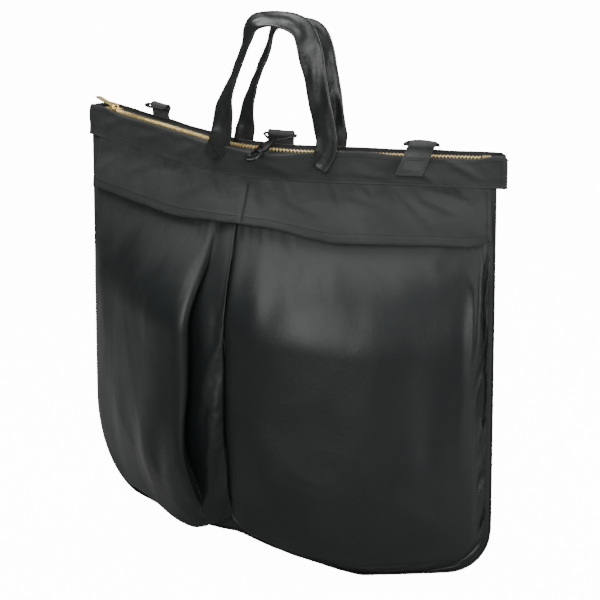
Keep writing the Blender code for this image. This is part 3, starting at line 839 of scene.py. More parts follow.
def setStudio():
    for name, light in studio["lamps"].items():
        data = bpy.data.lights.new(name, "AREA")
        data.shape = "RECTANGLE"
        data.size, data.size_y = light["size"]
        data.energy = light["power"]
        lamp = bpy.data.objects.new(name, data)
        lamp.location = light["at"]
        lamp.rotation_euler = (Vector((0, 0, 0.28)) - lamp.location).to_track_quat("-Z", "Y").to_euler()
        bpy.context.scene.collection.objects.link(lamp)
    world = bpy.data.worlds.new("studio")
    bpy.context.scene.world = world
    world.use_nodes = True
    shade = world.node_tree
    shade.nodes["Background"].inputs["Color"].default_value = (0.95, 0.96, 0.97, 1)
    seen = shade.nodes.new("ShaderNodeLightPath")
    level = shade.nodes.new("ShaderNodeMix")
    level.inputs[2].default_value = studio["world"]
    level.inputs[3].default_value = studio["backdrop"]
    shade.links.new(seen.outputs["Is Camera Ray"], level.inputs[0])
    shade.links.new(level.outputs[0], shade.nodes["Background"].inputs["Strength"])
    floor = makeObject("floor", [(-12, -12, 0), (12, -12, 0), (12, 12, 0), (-12, 12, 0)], [(0, 1, 2, 3)])
    # it glows for the camera only, so that it stays white and still takes its light from the lamps
    made, tree, shader = newMaterial("floor")
    seen = tree.nodes.new("ShaderNodeLightPath")
    lit = tree.nodes.new("ShaderNodeMath")
    lit.operation = "MULTIPLY"
    lit.inputs[1].default_value = studio["floorGlow"]
    tree.links.new(seen.outputs["Is Camera Ray"], lit.inputs[0])
    tree.links.new(lit.outputs[0], shader.inputs["Emission Strength"])
    shader.inputs["Emission Color"].default_value = (1, 1, 1, 1)
    shader.inputs["Base Color"].default_value = (studio["floor"],) * 3 + (1,)
    shader.inputs["Roughness"].default_value = 0.9
    shader.inputs["Specular IOR Level"].default_value = 0.1
    floor.data.materials.append(made)
    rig.stage(floor)


setCamera()
setStudio()
print("camera and studio set")


# body of the bag

panel = {"columns": 92, "rows": 70, "cut": (0.553, 0.44), "seamRoll": 0.0013}


def crowded(a, low, high):
    # columns crowd a little towards both ends, where the corners are round
    return mix(low, high, mix(a, (1 - math.cos(math.pi * a)) / 2, 0.6))


def aroundEdge(a, low, high, bottom, top):
    # down the left side, along the bottom and up the right side
    if a < 0.25:
        return low, mix(top, bottom(low), a / 0.25)
    if a > 0.75:
        return high, mix(bottom(high), top, (a - 0.75) / 0.25)
    u = mix(low, high, (1 - math.cos(math.pi * (a - 0.25) / 0.5)) / 2)
    return u, bottom(u)


backCreases = [
    (-0.20, 0.44, -0.11, 0.36, 0.010, 0.0030),
    (0.20, 0.43, 0.12, 0.33, 0.011, 0.0032),
    (-0.03, 0.45, -0.05, 0.30, 0.010, 0.0028),
    (0.05, 0.45, 0.07, 0.28, 0.012, 0.0030),
    (-0.24, 0.20, -0.15, 0.09, 0.013, -0.0028),
    (0.23, 0.12, 0.14, 0.05, 0.012, 0.0030),
    (0.00, 0.24, 0.03, 0.07, 0.016, -0.0030),
    (-0.12, 0.28, -0.20, 0.18, 0.015, 0.0025),
]


def heldVertices(grid, sewn):
    columns, rows = grid["columns"], grid["rows"]
    held = {}
    for row in range(rows + 1):
        for col in range(columns + 1):
            hold = sewn(col / columns, row / rows)
            if hold > 0:
                held[row * (columns + 1) + col] = hold
    return held


def atEdges(a, b):
    return 1.0 if min(a, 1 - a, b, 1 - b) < 0.004 else 0.0


def makeBodyPanel(name, facing):
    def surface(a, b):
        u = crowded(a, -bag["reach"][-1], bag["reach"][1])
        h = mix(bodyBottom(u), bag["seam"], b)
        inner = smooth(min(a, 1 - a) / 0.06) * smooth(min(b, 1 - b) / 0.05)
        w = bodyDepth(u, h)
        if facing > 0:
            w += inner * (creased(u, h, backCreases) + rumple(u, h, 3.1, 0.06, 0.5, 0.0022))
        return place(u, facing * w, h)

    return clothGrid(name, surface, panel["columns"], panel["rows"], panel["cut"], facing > 0)


def makeSideGusset():
    def surface(a, b):
        u, h = aroundEdge(a, -bag["reach"][-1], bag["reach"][1], bodyBottom, bag["seam"])
        half = bodyDepth(u, h)
        under = math.sin(math.pi * b)
        ripple = 0.0022 * under * noise.noise(Vector((a * 26, 0.4, 2.0)))
        tuck = -0.0035 * under * smooth(a / 0.06) * smooth((1 - a) / 0.06)
        side = (u / bag["reach"][sideOf(u)]) ** 8
        out = (tuck + ripple) * side * sideOf(u)
        return place(u + out, mix(-half, half, b), h + (ripple - tuck) * (1 - side))

    return clothGrid("sideGusset", surface, 150, 8, (1.3, 0.06))


def seamRoll(name, path, radius):
    # the turned edge of a seam, a little uneven
    rings = tubeRings(path, radius, 7)
    for n, (ring, middle) in enumerate(zip(rings, path)):
        swell = 1 + 0.22 * noise.noise(Vector((n * 0.7, radius * 900, 1.0)))
        for k, point in enumerate(ring):
            ring[k] = middle + (point - middle) * swell
    cuts = [(n * 0.005, k * 0.001) for n in range(len(rings)) for k in range(7)]
    roll = loft(name, rings, cuts)
    return finishPiece(roll, "nylon", "nylon", "bag")


def gridEdge(grid, route, steps):
    return [onGrid(grid, *route(n / steps))[0] for n in range(steps + 1)]


def downAndRound(t):
    # route round the lower edge of a panel: left side, bottom, right side
    if t < 0.3:
        return 0.0, 1 - t / 0.3
    if t > 0.7:
        return 1.0, (t - 0.7) / 0.3
    return (t - 0.3) / 0.4, 0.0


def makeBody():
    front = makeBodyPanel("frontPanel", -1)
    rear = makeBodyPanel("rearPanel", 1)
    relaxCloth(rear["piece"], heldVertices(rear, atEdges), relaxing["rear"])
    gusset = makeSideGusset()
    for grid, node in ((front, "front_panel"), (rear, "rear_panel"), (gusset, "side_gusset")):
        thicken(soften(grid["piece"]), 0.0009)
        finishPiece(grid["piece"], "nylon", "nylon", "bag", [node])
    for name, grid in (("frontSeamRoll", front), ("rearSeamRoll", rear)):
        seamRoll(name, gridEdge(grid, downAndRound, 260), panel["seamRoll"])
    inset = 0.012
    stitchGrid("bag", rear, lambda t: (mix(inset, 1 - inset, t), 0.988), 220)
    for near in (inset, 1 - inset):
        stitchGrid("bag", rear, lambda t, near=near: (near, mix(0.02, 0.98, t)), 160)
    stitchGrid("bag", rear, lambda t: (mix(inset, 1 - inset, t), inset), 220)
    print("body made")


makeBody()

# pockets

pockets = {
    -1: {
        "word": "left", "seam": -0.0065, "ridge": -0.032, "outerSeam": -0.270, "outerRidge": -0.266,
        "depth": 0.036, "corner": 0.095, "inner": 0.008, "lift": 0.013, "droop": 0.013,
        "foot": 0.55, "edge": 0.013, "tucks": 0.0013, "bodyCorners": (bag["corner"][-1], 0.02),
    },
    1: {
        "word": "right", "seam": -0.010, "ridge": -0.005, "outerSeam": 0.266, "outerRidge": 0.260,
        "depth": 0.030, "corner": 0.034, "inner": 0.018, "lift": 0.020, "droop": 0.008,
        "foot": 0.28, "edge": 0.013, "tucks": 0.0009, "bodyCorners": (0.02, bag["corner"][1]),
    },
}
pocketMouth = bag["seam"] - 0.050
pocketShell = {
    "columns": 58,
    "rows": 74,
    "gussetRows": 16,
    "tuck": 0.024,
    "slot": 0.012,
    "inward": (-0.79, 0.61),
    "across": (0.61, 0.79),
}
pocketCreases = {
    -1: [
        (-0.075, 0.39, -0.085, 0.27, 0.011, 0.0018),
        (-0.110, 0.39, -0.118, 0.30, 0.010, -0.0014),
        (-0.150, 0.39, -0.145, 0.33, 0.012, 0.0014),
        (-0.205, 0.38, -0.190, 0.33, 0.013, -0.0012),
        (-0.060, 0.17, -0.072, 0.075, 0.010, -0.0026),
        (-0.088, 0.18, -0.102, 0.080, 0.012, 0.0026),
        (-0.125, 0.16, -0.140, 0.085, 0.013, -0.0018),
        (-0.165, 0.17, -0.185, 0.100, 0.016, 0.0018),
        (-0.235, 0.34, -0.215, 0.22, 0.024, 0.0018),
    ],
    1: [
        (0.010, 0.385, 0.006, 0.31, 0.007, -0.0022),
        (0.024, 0.385, 0.022, 0.31, 0.008, 0.0018),
        (0.042, 0.385, 0.034, 0.30, 0.009, -0.0016),
        (0.066, 0.385, 0.058, 0.33, 0.008, -0.0016),
        (0.095, 0.385, 0.092, 0.34, 0.009, 0.0014),
        (0.060, 0.22, 0.110, 0.075, 0.030, -0.0040),
        (0.020, 0.20, 0.040, 0.070, 0.014, 0.0026),
        (0.140, 0.30, 0.150, 0.10, 0.036, 0.0036),
        (0.205, 0.27, 0.200, 0.10, 0.020, -0.0044),
        (0.240, 0.34, 0.238, 0.14, 0.010, 0.0034),
        (0.140, 0.12, 0.220, 0.065, 0.015, 0.0020),
    ],
}


def pocketBottom(u, side, low, high, grow=0.0):
    cut = pockets[side]
    inner, outer = cut["inner"] + grow, cut["corner"] + grow
    left, right = (outer, inner) if side < 0 else (inner, outer)
    droop = cut["droop"] * (1 - smooth(abs(u - cut["ridge"]) / 0.12))
    return sagging(u) + cut["lift"] - droop - grow + rounded(u, low - grow, high + grow, left, right)


def pocketDepth(u, h, side):
    cut = pockets[side]
    along = clamp((u - cut["ridge"]) / (cut["outerRidge"] - cut["ridge"]))
    down = clamp((pocketMouth - h) / (pocketMouth - sagging(u)))
    openMouth = mix(0.010, 1.0, smooth(down / 0.34))
    if side < 0:
        spread = mix(1.0, 0.10, along**1.15)
    else:
        spread = mix(0.16, 1.0, math.sin(math.pi * clamp(along) ** 0.8) ** 0.8)
    foot = 1 - cut["foot"] * smooth((down - 0.72) / 0.28)
    return 0.005 + cut["depth"] * spread * openMouth * foot


def gathers(u, h, side):
    # the mouth is drawn up in small tucks that die out below the flap
    near = smooth((h - pocketMouth + 0.045) / 0.045)
    wave = math.sin(u * 620 + 2.4 * noise.noise(Vector((u * 30, side, 0.0))))
    uneven = 0.5 + 0.5 * noise.noise(Vector((u * 18, side * 3, 5.0)))
    return pockets[side]["tucks"] * near * wave * uneven


def pocketSurface(side):
    cut = pockets[side]
    low, high = sorted((cut["ridge"], cut["outerRidge"]))

    def surface(a, b):
        u = crowded(a, low, high)
        h = mix(pocketBottom(u, side, low, high), pocketMouth, b)
        inner = smooth(min(a, 1 - a) / 0.06) * smooth(b / 0.05)
        w = bodyDepth(u, h) + pocketDepth(u, h, side)
        w += inner * (creased(u, h, pocketCreases[side]) + rumple(u, h, side * 2.0, 0.07, 0.4, 0.0016))
        # the cloth rolls over its standing edge
        taper = mix(0.6, 1.0, smooth((h - 0.12) / 0.12)) * smooth((pocketMouth - h) / 0.06)
        roll = cut["edge"] * taper + 0.0005
        inside = clamp(1 - abs(u - high) / roll)
        w -= roll * (1 - math.sqrt(1 - inside**2))
        return u, -w - gathers(u, h, side) * inner, h

    return surface


def pocketSeam(side, a, b):
    # where the gusset is sewn to the front panel, for a point a, b on the edge of the face
    cut = pockets[side]
    low, high = sorted((cut["seam"], cut["outerSeam"]))
    u = crowded(a, low, high)
    bottom = sagging(u) + 0.004 + rounded(u, low, high, *cut["bodyCorners"])
    h = mix(bottom, pocketMouth, b)
    return u, -bodyDepth(u, h) - 0.0022, h


def gussetPoint(side, a, b, face, t):
    # across the gusset, from the edge of the face (t = 0) to the seam (t = 1)
    u, w, h = face
    su, sw, sh = pocketSeam(side, a, b)
    middle = math.sin(math.pi * t)
    upright = smooth(b / 0.10)
    h = mix(h, sh, t)
    if side < 0 and a > 0.5 and b > 0:
        # a deep tuck behind the rolled edge, then soft pleats out to the centre seam
        sw -= 0.0065 * upright
        room = max(-w - bodyDepth(u, h), 0.0)
        unevenDeep = 1 + 0.25 * noise.noise(Vector((h * 15, 3.0, 2.0)))
        unevenWide = 1 + 0.5 * noise.noise(Vector((h * 11, 5.0, 2.0)))
        deep = min(0.9 * room, pocketShell["tuck"]) * upright * unevenDeep
        wide = min(0.45 * room, pocketShell["slot"]) * upright * unevenWide
        (au, aw), (cu, cw) = pocketShell["inward"], pocketShell["across"]
        valley = u + au * deep + cu * 0.001, w + aw * deep + cw * 0.001
        lip = u + au * 0.18 * deep + cu * wide, w + aw * 0.18 * deep + cw * wide
        if t < 0.3:
            return mix(u, valley[0], t / 0.3), mix(w, valley[1], t / 0.3), h
        if t < 0.6:
            return mix(valley[0], lip[0], t / 0.3 - 1), mix(valley[1], lip[1], t / 0.3 - 1), h
        s = (t - 0.6) / 0.4
        pleat = 0.0026 + 0.0060 * noise.noise(Vector((h * 12, s * 1.5, 4.0)))
        fold = math.sin(math.pi * s) * upright * pleat
        return mix(lip[0], su, s) + 0.5 * fold, mix(lip[1], sw, s) - fold, h
    u, w = mix(u, su, t), mix(w, sw, t)
    u -= side * 0.0025 * middle * upright * (0.6 + noise.noise(Vector((h * 26, t, 1.0))))
    across = noise.noise(Vector((u * 42, t * 2.5, 9.0)))
    h += middle * (1 - upright) * (0.0010 + 0.003 * across)
    w -= 0.0020 * middle * (1 - upright) * across
    return u, w, h


def makePocket(side):
    # the face first, as a grid, then the gusset's rows on from the face's own edge
    cut = pockets[side]
    columns, rows, strip = pocketShell["columns"], pocketShell["rows"], pocketShell["gussetRows"]
    surface = pocketSurface(side)
    flat, cuts = [], []
    for row in range(rows + 1):
        for col in range(columns + 1):
            flat.append(surface(col / columns, row / rows))
            cuts.append((col / columns * 0.24, row / rows * 0.35))
    faces = []
    for row in range(rows):
        for col in range(columns):
            i = row * (columns + 1) + col
            faces.append((i, i + 1, i + columns + 2, i + columns + 1))
    edge = [(0.0, row / rows, row * (columns + 1)) for row in range(rows, 0, -1)]
    edge += [(col / columns, 0.0, col) for col in range(columns + 1)]
    edge += [(1.0, row / rows, row * (columns + 1) + columns) for row in range(1, rows + 1)]
    previous = [index for a, b, index in edge]
    for step in range(1, strip + 1):
        current = []
        for a, b, index in edge:
            current.append(len(flat))
            flat.append(gussetPoint(side, a, b, flat[index], step / strip))
            cuts.append((0.005 * len(current), 0.045 * step / strip + 0.4))
        for n in range(len(edge) - 1):
            faces.append((previous[n], current[n], current[n + 1], previous[n + 1]))
        previous = current
    piece = makeObject("pocket" + cut["word"].capitalize(), [place(*point) for point in flat], faces, cuts)
    grid = {"piece": piece, "columns": columns, "rows": rows, "turned": False}
    held = {index: 1.0 for index in previous}
    for col in range(columns + 1):
        held[rows * (columns + 1) + col] = 0.8
    relaxCloth(piece, held, relaxing["pocket"])
    thicken(soften(piece), 0.0009)
    nodes = ["pocket_face_" + cut["word"], "pocket_gusset_" + cut["word"]]
    finishPiece(piece, "nylon", "nylon", "bag", nodes)
    inset = 0.012
    stitchGrid("bag", grid, lambda t: (mix(inset, 1 - inset, t), 0.992), 160)
    outer = inset if side < 0 else 1 - inset
    stitchGrid("bag", grid, lambda t: (outer, mix(0.02, 0.99, t)), 160)


for pocketSide in (-1, 1):
    makePocket(pocketSide)
print("pockets made")

# flap over the pockets' mouths

flap = {
    "drop": {-1: 0.057, 1: 0.064},
    "reach": {-1: 0.263, 1: 0.268},
    "centre": 0.018,
    "hem": 0.0105,
    "hemRise": 0.0006,
    "cutDrop": 0.06,
    "bends": (0.012, 0.085),
    # the flat sizes declared for the two halves, from their own reach and drop
    "flat": {-1: (0.263, 0.058), 1: (0.268, 0.065)},
    "area": {-1: 0.0149, 1: 0.0166},
}
flapCreases = [
    (0.175, 0.452, 0.235, 0.428, 0.0045, 0.0026),
    (0.190, 0.456, 0.245, 0.440, 0.0040, -0.0022),
    (0.160, 0.456, 0.200, 0.418, 0.0045, 0.0022),
    (0.090, 0.450, 0.150, 0.436, 0.0050, 0.0018),
    (0.030, 0.448, 0.080, 0.420, 0.0050, 0.0020),
    (-0.040, 0.450, -0.090, 0.424, 0.0055, 0.0022),
    (-0.090, 0.452, -0.160, 0.440, 0.0050, -0.0016),
    (-0.150, 0.450, -0.200, 0.426, 0.0055, 0.0020),
    (-0.220, 0.448, -0.255, 0.418, 0.0050, 0.0020),
]


def flapHem(u):
    rise = 0.010 * smooth((abs(u) - 0.245) / 0.035) if u > 0 else 0.0
    drop = mix(0.050, flap["drop"][sideOf(u)], smooth((abs(u) - flap["centre"]) / 0.08))
    return bag["seam"] - drop + rise


def flapDepth(u, h):
    down = clamp((bag["seam"] - h) / flap["drop"][sideOf(u)])
    kick = 0.003 * smooth((u - 0.20) / 0.07)
    return bodyDepth(u, h) + mix(0.0022, 0.0130 + kick, smooth(down * 1.15))


def makeFlap(side):
    word = "left" if side < 0 else "right"
    low, high = sorted((0.0, side * flap["reach"][side]))

    def surface(a, b):
        u = mix(low, high, a)
        h = mix(flapHem(u), bag["seam"] + 0.0004, b)
        w = flapDepth(u, h)
        free = smooth((1 - b) / 0.12) * smooth(abs(u) / 0.03)
        w += free * (creased(u, h, flapCreases) + rumple(u, h, 8.0 + side, 0.035, 1.0, 0.0016))
        if h - flapHem(u) < flap["hem"]:
            w += flap["hemRise"]
        # tacked down roughly along the centre seam
        w -= 0.0014 * math.exp(-((u / 0.010) ** 2)) * smooth((1 - b) / 0.2)
        return place(u, -w, h)

    store, bodyName = "flap" + word.capitalize(), "flap_" + word
    grid = clothGrid(store, surface, 90, 24, (abs(high - low), flap["cutDrop"]))

    def sewn(a, b):
        centre = a > 0.97 if side < 0 else a < 0.03
        return 1.0 if b > 0.97 or centre else 0.0

    relaxCloth(grid["piece"], heldVertices(grid, sewn), relaxing["flap"])
    hemShare = flap["hem"] / flap["cutDrop"]
    for near in (0.035, hemShare * 0.95):
        stitchGrid(store, grid, lambda t, near=near: (mix(0.005, 0.995, t), near), 180)
    end = 0.018 if side < 0 else 0.982
    stitchGrid(store, grid, lambda t: (end, mix(0.05, 0.97, t)), 50)
    piece = grid["piece"]
    thicken(soften(piece), 0.0009)
    finishPiece(piece, "matte", "nylon", None, [bodyName])
    # hung from the seam under the band
    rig.sheet(piece, flat=flap["flat"][side], held="hung", rests_on=["frontPanel"], area=flap["area"][side])
    blendEnds = [place(side * u, -0.02, bag["seam"]) for u in flap["bends"]]
    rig.blend(piece, "bag", bodyName, *blendEnds)
    return store, bodyName, blendEnds, grid


flapParts = [makeFlap(-1), makeFlap(1)]


def makeTack():
    # coarse hand stitches that hold the flap down along the centre seam
    grid = flapParts[1][3]
    path, normals = [], []
    for n in range(40):
        t = n / 39
        point, normal = onGrid(grid, 0.004 + 0.006 * math.sin(n * 1.9), mix(0.06, 0.9, t))
        path.append(point + normal * 0.0004)
        normals.append(normal)
    addStitches("tack", path, normals, 0.0031)
    tack = makeThreads("tack")
    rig.ride(tack, "bag")
    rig.replaces(tack, "flap_centre")


makeTack()
print("flap made")

# band round the mouth

band = {
    "overhang": 0.006,
    "rows": 14,
    "columns": 150,
    "edgeRoll": 0.0008,
    "corner": 0.005,
    "slump": 0.0042,
    "stand": {-1: (0.0024, 0.0012), 1: (0.0012, 0.0012)},
}
bandCreases = [
    (0.170, 0.488, 0.205, 0.462, 0.0040, 0.0022),
    (0.215, 0.490, 0.262, 0.466, 0.0045, 0.0022),
    (0.120, 0.470, 0.165, 0.464, 0.0040, 0.0014),
    (-0.060, 0.486, -0.110, 0.466, 0.0050, 0.0018),
    (-0.130, 0.484, -0.190, 0.470, 0.0050, 0.0018),
    (-0.215, 0.488, -0.262, 0.470, 0.0050, 0.0020),
    (0.010, 0.480, 0.050, 0.464, 0.0045, 0.0016),
]


faceWords = {-1: "front", 1: "rear"}


def slump(u):
    # the front edge sinks between the handles and the ends, so that the zip looks out
    left = smooth((u + 0.262) / 0.04) * smooth((-0.028 - u) / 0.03)
    right = smooth((u - 0.125) / 0.05) * smooth((0.275 - u) / 0.03)
    return max(left, right, 0.45 * smooth((u + 0.01) / 0.02) * smooth((0.06 - u) / 0.02))


def makeBand(facing):
    end = 0.28 + band["overhang"]

    def surface(a, b):
        u = mix(-end, end, a)
        w, top = bandTop(u, facing)
        corner = band["corner"] * smooth((abs(u) - end + band["corner"]) / band["corner"]) ** 2
        top -= corner + (band["slump"] * slump(u) if facing < 0 else 0.0)
        h = mix(bag["seam"], top, b)
        depth = mix(bag["edgeHalfDepth"], abs(w), b)
        inner = smooth(b / 0.15) * smooth((1 - b) / 0.15)
        depth += mix(*band["stand"][facing], smooth(b / 0.12))
        depth += inner * (creased(u, h, bandCreases) + rumple(u, h, 12 + facing, 0.03, 1.2, 0.0012))
        return place(u, facing * depth, h + 0.0010 * noise.noise(Vector((u * 22, facing, 3.0))) * b)

    word = faceWords[facing]
    name = "band" + word.capitalize()
    grid = clothGrid(name, surface, band["columns"], band["rows"], (0.572, 0.036), facing > 0)
    for near in (0.10, 0.86):
        stitchGrid("bag", grid, lambda t, near=near: (mix(0.006, 0.994, t), near), 300)
    for near in (0.012, 0.988):
        stitchGrid("bag", grid, lambda t, near=near: (near, mix(0.08, 0.92, t)), 30)
    edge = gridEdge(grid, lambda t: (t, 1.0), 260)
    inward = [point + place(0, -facing * 0.0012, 0) - place(0, 0, 0) for point in edge]
    seamRoll(name + "Edge", inward, band["edgeRoll"])
    thicken(soften(grid["piece"]), 0.0012)
    return finishPiece(grid["piece"], "matte", "nylon", "bag", ["band_" + word])


def makeBandEnd(side):
    reach = bag["edgeHalfDepth"] + 0.0008

    def surface(a, b):
        bow = math.cos((a - 0.5) * math.pi)
        crumple = 0.0012 * noise.noise(Vector((a * 3, b * 3, side * 4.0)))
        u = side * (0.2808 + 0.0045 * bow + crumple * bow)
        return place(u, mix(-reach, reach, a), mix(bag["seam"] + 0.0005, bag["top"] - 0.0005, b))

    word = "left" if side < 0 else "right"
    grid = clothGrid("bandEnd" + word.capitalize(), surface, 14, 14, (0.03, 0.036), side < 0)
    thicken(soften(grid["piece"]), 0.0009)
    finishPiece(grid["piece"], "matte", "nylon", "bag", ["band_end_" + word])


makeBand(-1)
makeBand(1)
makeBandEnd(-1)
makeBandEnd(1)
print("band made")

# zip

zipParts = {
    "height": bag["top"] - 0.004,
    "start": -0.266,
    "end": 0.258,
    "pitch": 0.0040,
    "tooth": (0.0019, 0.0052, 0.0029),
    "offCentre": 0.0017,
}


def makeTape(facing):
    def surface(a, b):
        u = mix(-0.274, 0.274, a)
        low = zipParts["height"] - bag["top"] + bandTop(u, facing)[1]
        if facing < 0:
            low -= 0.6 * band["slump"] * slump(u)
        far = bandDepth(u, low, facing) + 0.0006
        sagDown = -0.0006 * math.sin(math.pi * b) * (1 + noise.noise(Vector((u * 30, facing, 7.0))))
        w = mix(0.0018, far, b)
        return place(u, facing * w, mix(zipParts["height"], low, b) + sagDown)

    word = faceWords[facing]
    grid = clothGrid("zipTape" + word.capitalize(), surface, 150, 6, (0.548, 0.014), facing < 0)
    stitchGrid("bag", grid, lambda t: (mix(0.01, 0.99, t), 0.62), 260)
    thicken(soften(grid["piece"]), 0.0007)
    return finishPiece(grid["piece"], "tape", "tape", "bag", ["zip_tape_" + word])


def toothShape():
    # one tooth: a small stamped block, narrower at one end
    shape = bmesh.new()
    bmesh.ops.create_cube(shape, size=1.0, matrix=Matrix.Diagonal((*zipParts["tooth"], 1)))
    for vertex in shape.verts:
        if vertex.co.y > 0:
            vertex.co.x *= 0.82
            vertex.co.z *= 0.86
    bmesh.ops.bevel(shape, geom=shape.edges[:], offset=0.00045, segments=2, affect="EDGES", profile=0.6)
    points = [vertex.co.copy() for vertex in shape.verts]
    faces = [[vertex.index for vertex in face.verts] for face in shape.faces]
    shape.free()
    return points, faces


def makeTeeth(facing):
    shapePoints, shapeFaces = toothShape()
    points, faces = [], []
    count = int((zipParts["end"] - zipParts["start"]) / zipParts["pitch"])
    turn = Matrix.Rotation(0.0 if facing < 0 else math.pi, 4, "Z")
    for n in range(count):
        u = zipParts["start"] + (n + (0.5 if facing > 0 else 0.0)) * zipParts["pitch"]
        at = standing(u, facing * zipParts["offCentre"], zipParts["height"]) @ turn
        start = len(points)
        points += [at @ point for point in shapePoints]
        faces += [[start + i for i in face] for face in shapeFaces]
    word = faceWords[facing]
    made = makeObject("zipTeeth" + word.capitalize(), points, faces)
    made.data.set_sharp_from_angle(angle=math.radians(40))
    return finishPiece(made, "brass", "brass", "bag", ["zip_teeth_" + word])


for zipFacing in (-1, 1):
    makeTape(zipFacing)
    makeTeeth(zipFacing)
def finishNode(node, material, radius, segments, limit):
    # a metal part that is kept as it is, with rounded edges
    part = frame["nodes"][node]
    part.data.materials.clear()
    part.data.materials.append(materials[material])
    edges = part.modifiers.new("Edges", "BEVEL")
    edges.width = radius
    edges.segments = segments
    edges.limit_method = "ANGLE"
    edges.angle_limit = math.radians(limit)


for brassNode in ("top_stop_front", "top_stop_rear", "bottom_stop", "zip_slider", "zip_pull"):
    finishNode(brassNode, "brass", 0.00025, 2, 40)
print("zip made")

# handles

handles = {
    "base": 0.0125,
    "width": 0.027,
    "thickness": 0.0044,
    "across": (-0.0600, -0.0570, -0.0470, -0.0365, -0.0270, 0.0020, 0.0290, 0.0420, 0.0520, 0.0615),
    "height": (0.0125, 0.0450, 0.0790, 0.1100, 0.1375, 0.1430, 0.1330, 0.0950, 0.0520, 0.0125),
    "tabDrop": 0.020,
    "tabSlant": -0.018,
    "front": {
        "legs": (-0.029, 0.085), "facing": -1, "tilt": 0.02, "tall": 1.0,
        "twist": (4, -32, -58, -62, -40, -50, -30, -10, 6, 0),
        "widths": (0.96, 0.84, 0.72, 0.84, 0.92, 0.90, 0.98, 1.04, 1.0, 0.96),
    },
    "rear": {
        "legs": (-0.022, 0.096), "facing": 1, "tilt": 0.05, "tall": 0.93,
        "twist": (0, -44, -62, -58, -66, -52, -36, -20, -6, 0),
        "widths": (0.86, 0.66, 0.60, 0.66, 0.62, 0.80, 0.92, 0.96, 0.96, 0.92),
    },
}


def strapSection(width, thickness, count=7):
    # a flat strap's outline: two long sides and round edges
    half, edge = width / 2, thickness / 2
    line = []
    for side, wave in ((-1, 2.1), (1, 1.7)):
        for n in range(count):
            x = mix(half - edge, -half + edge, n / (count - 1)) * side
            line.append((x, side * edge * (0.9 + 0.1 * math.cos(n * wave))))
        line.append((-side * (half - edge * 0.3), side * edge * 0.7))
        line.append((-side * half, 0.0))
        line.append((-side * (half - edge * 0.3), -side * edge * 0.7))
    return line


# how far out from a strap's middle its threads lie, as a share of its thickness
threadDepth = 0.46


def strapLoft(name, spine, sides, fronts, widths, thickness, store, inset=0.0028, wobble=0.0):
    rings, cuts = [], []
    length = 0.0
    for n, (point, side, front) in enumerate(zip(spine, sides, fronts)):
        if n:
            length += (point - spine[n - 1]).length
        section = strapSection(widths[n], thickness)
        ring = []
        for k, (x, y) in enumerate(section):
            spot = Vector((length * 34 + x * 40, x * 70, len(name) + 0.3 * (y > 0)))
            crumple = wobble * noise.fractal(spot, 0.8, 2.0, 2)
            ring.append(point + side * x + front * (y + crumple))
            cuts.append((x, length))
        rings.append(ring)
    strap = loft(name, rings, cuts)
    for edge in (-1, 1):
        for face in (1, -1):
            path = []
            for point, side, front, width in zip(spine, sides, fronts, widths):
                lift = front * face * thickness * threadDepth
                path.append(point + side * edge * (width / 2 - inset) + lift)
            addStitches(store, path, [front * face for front in fronts])
    return strap


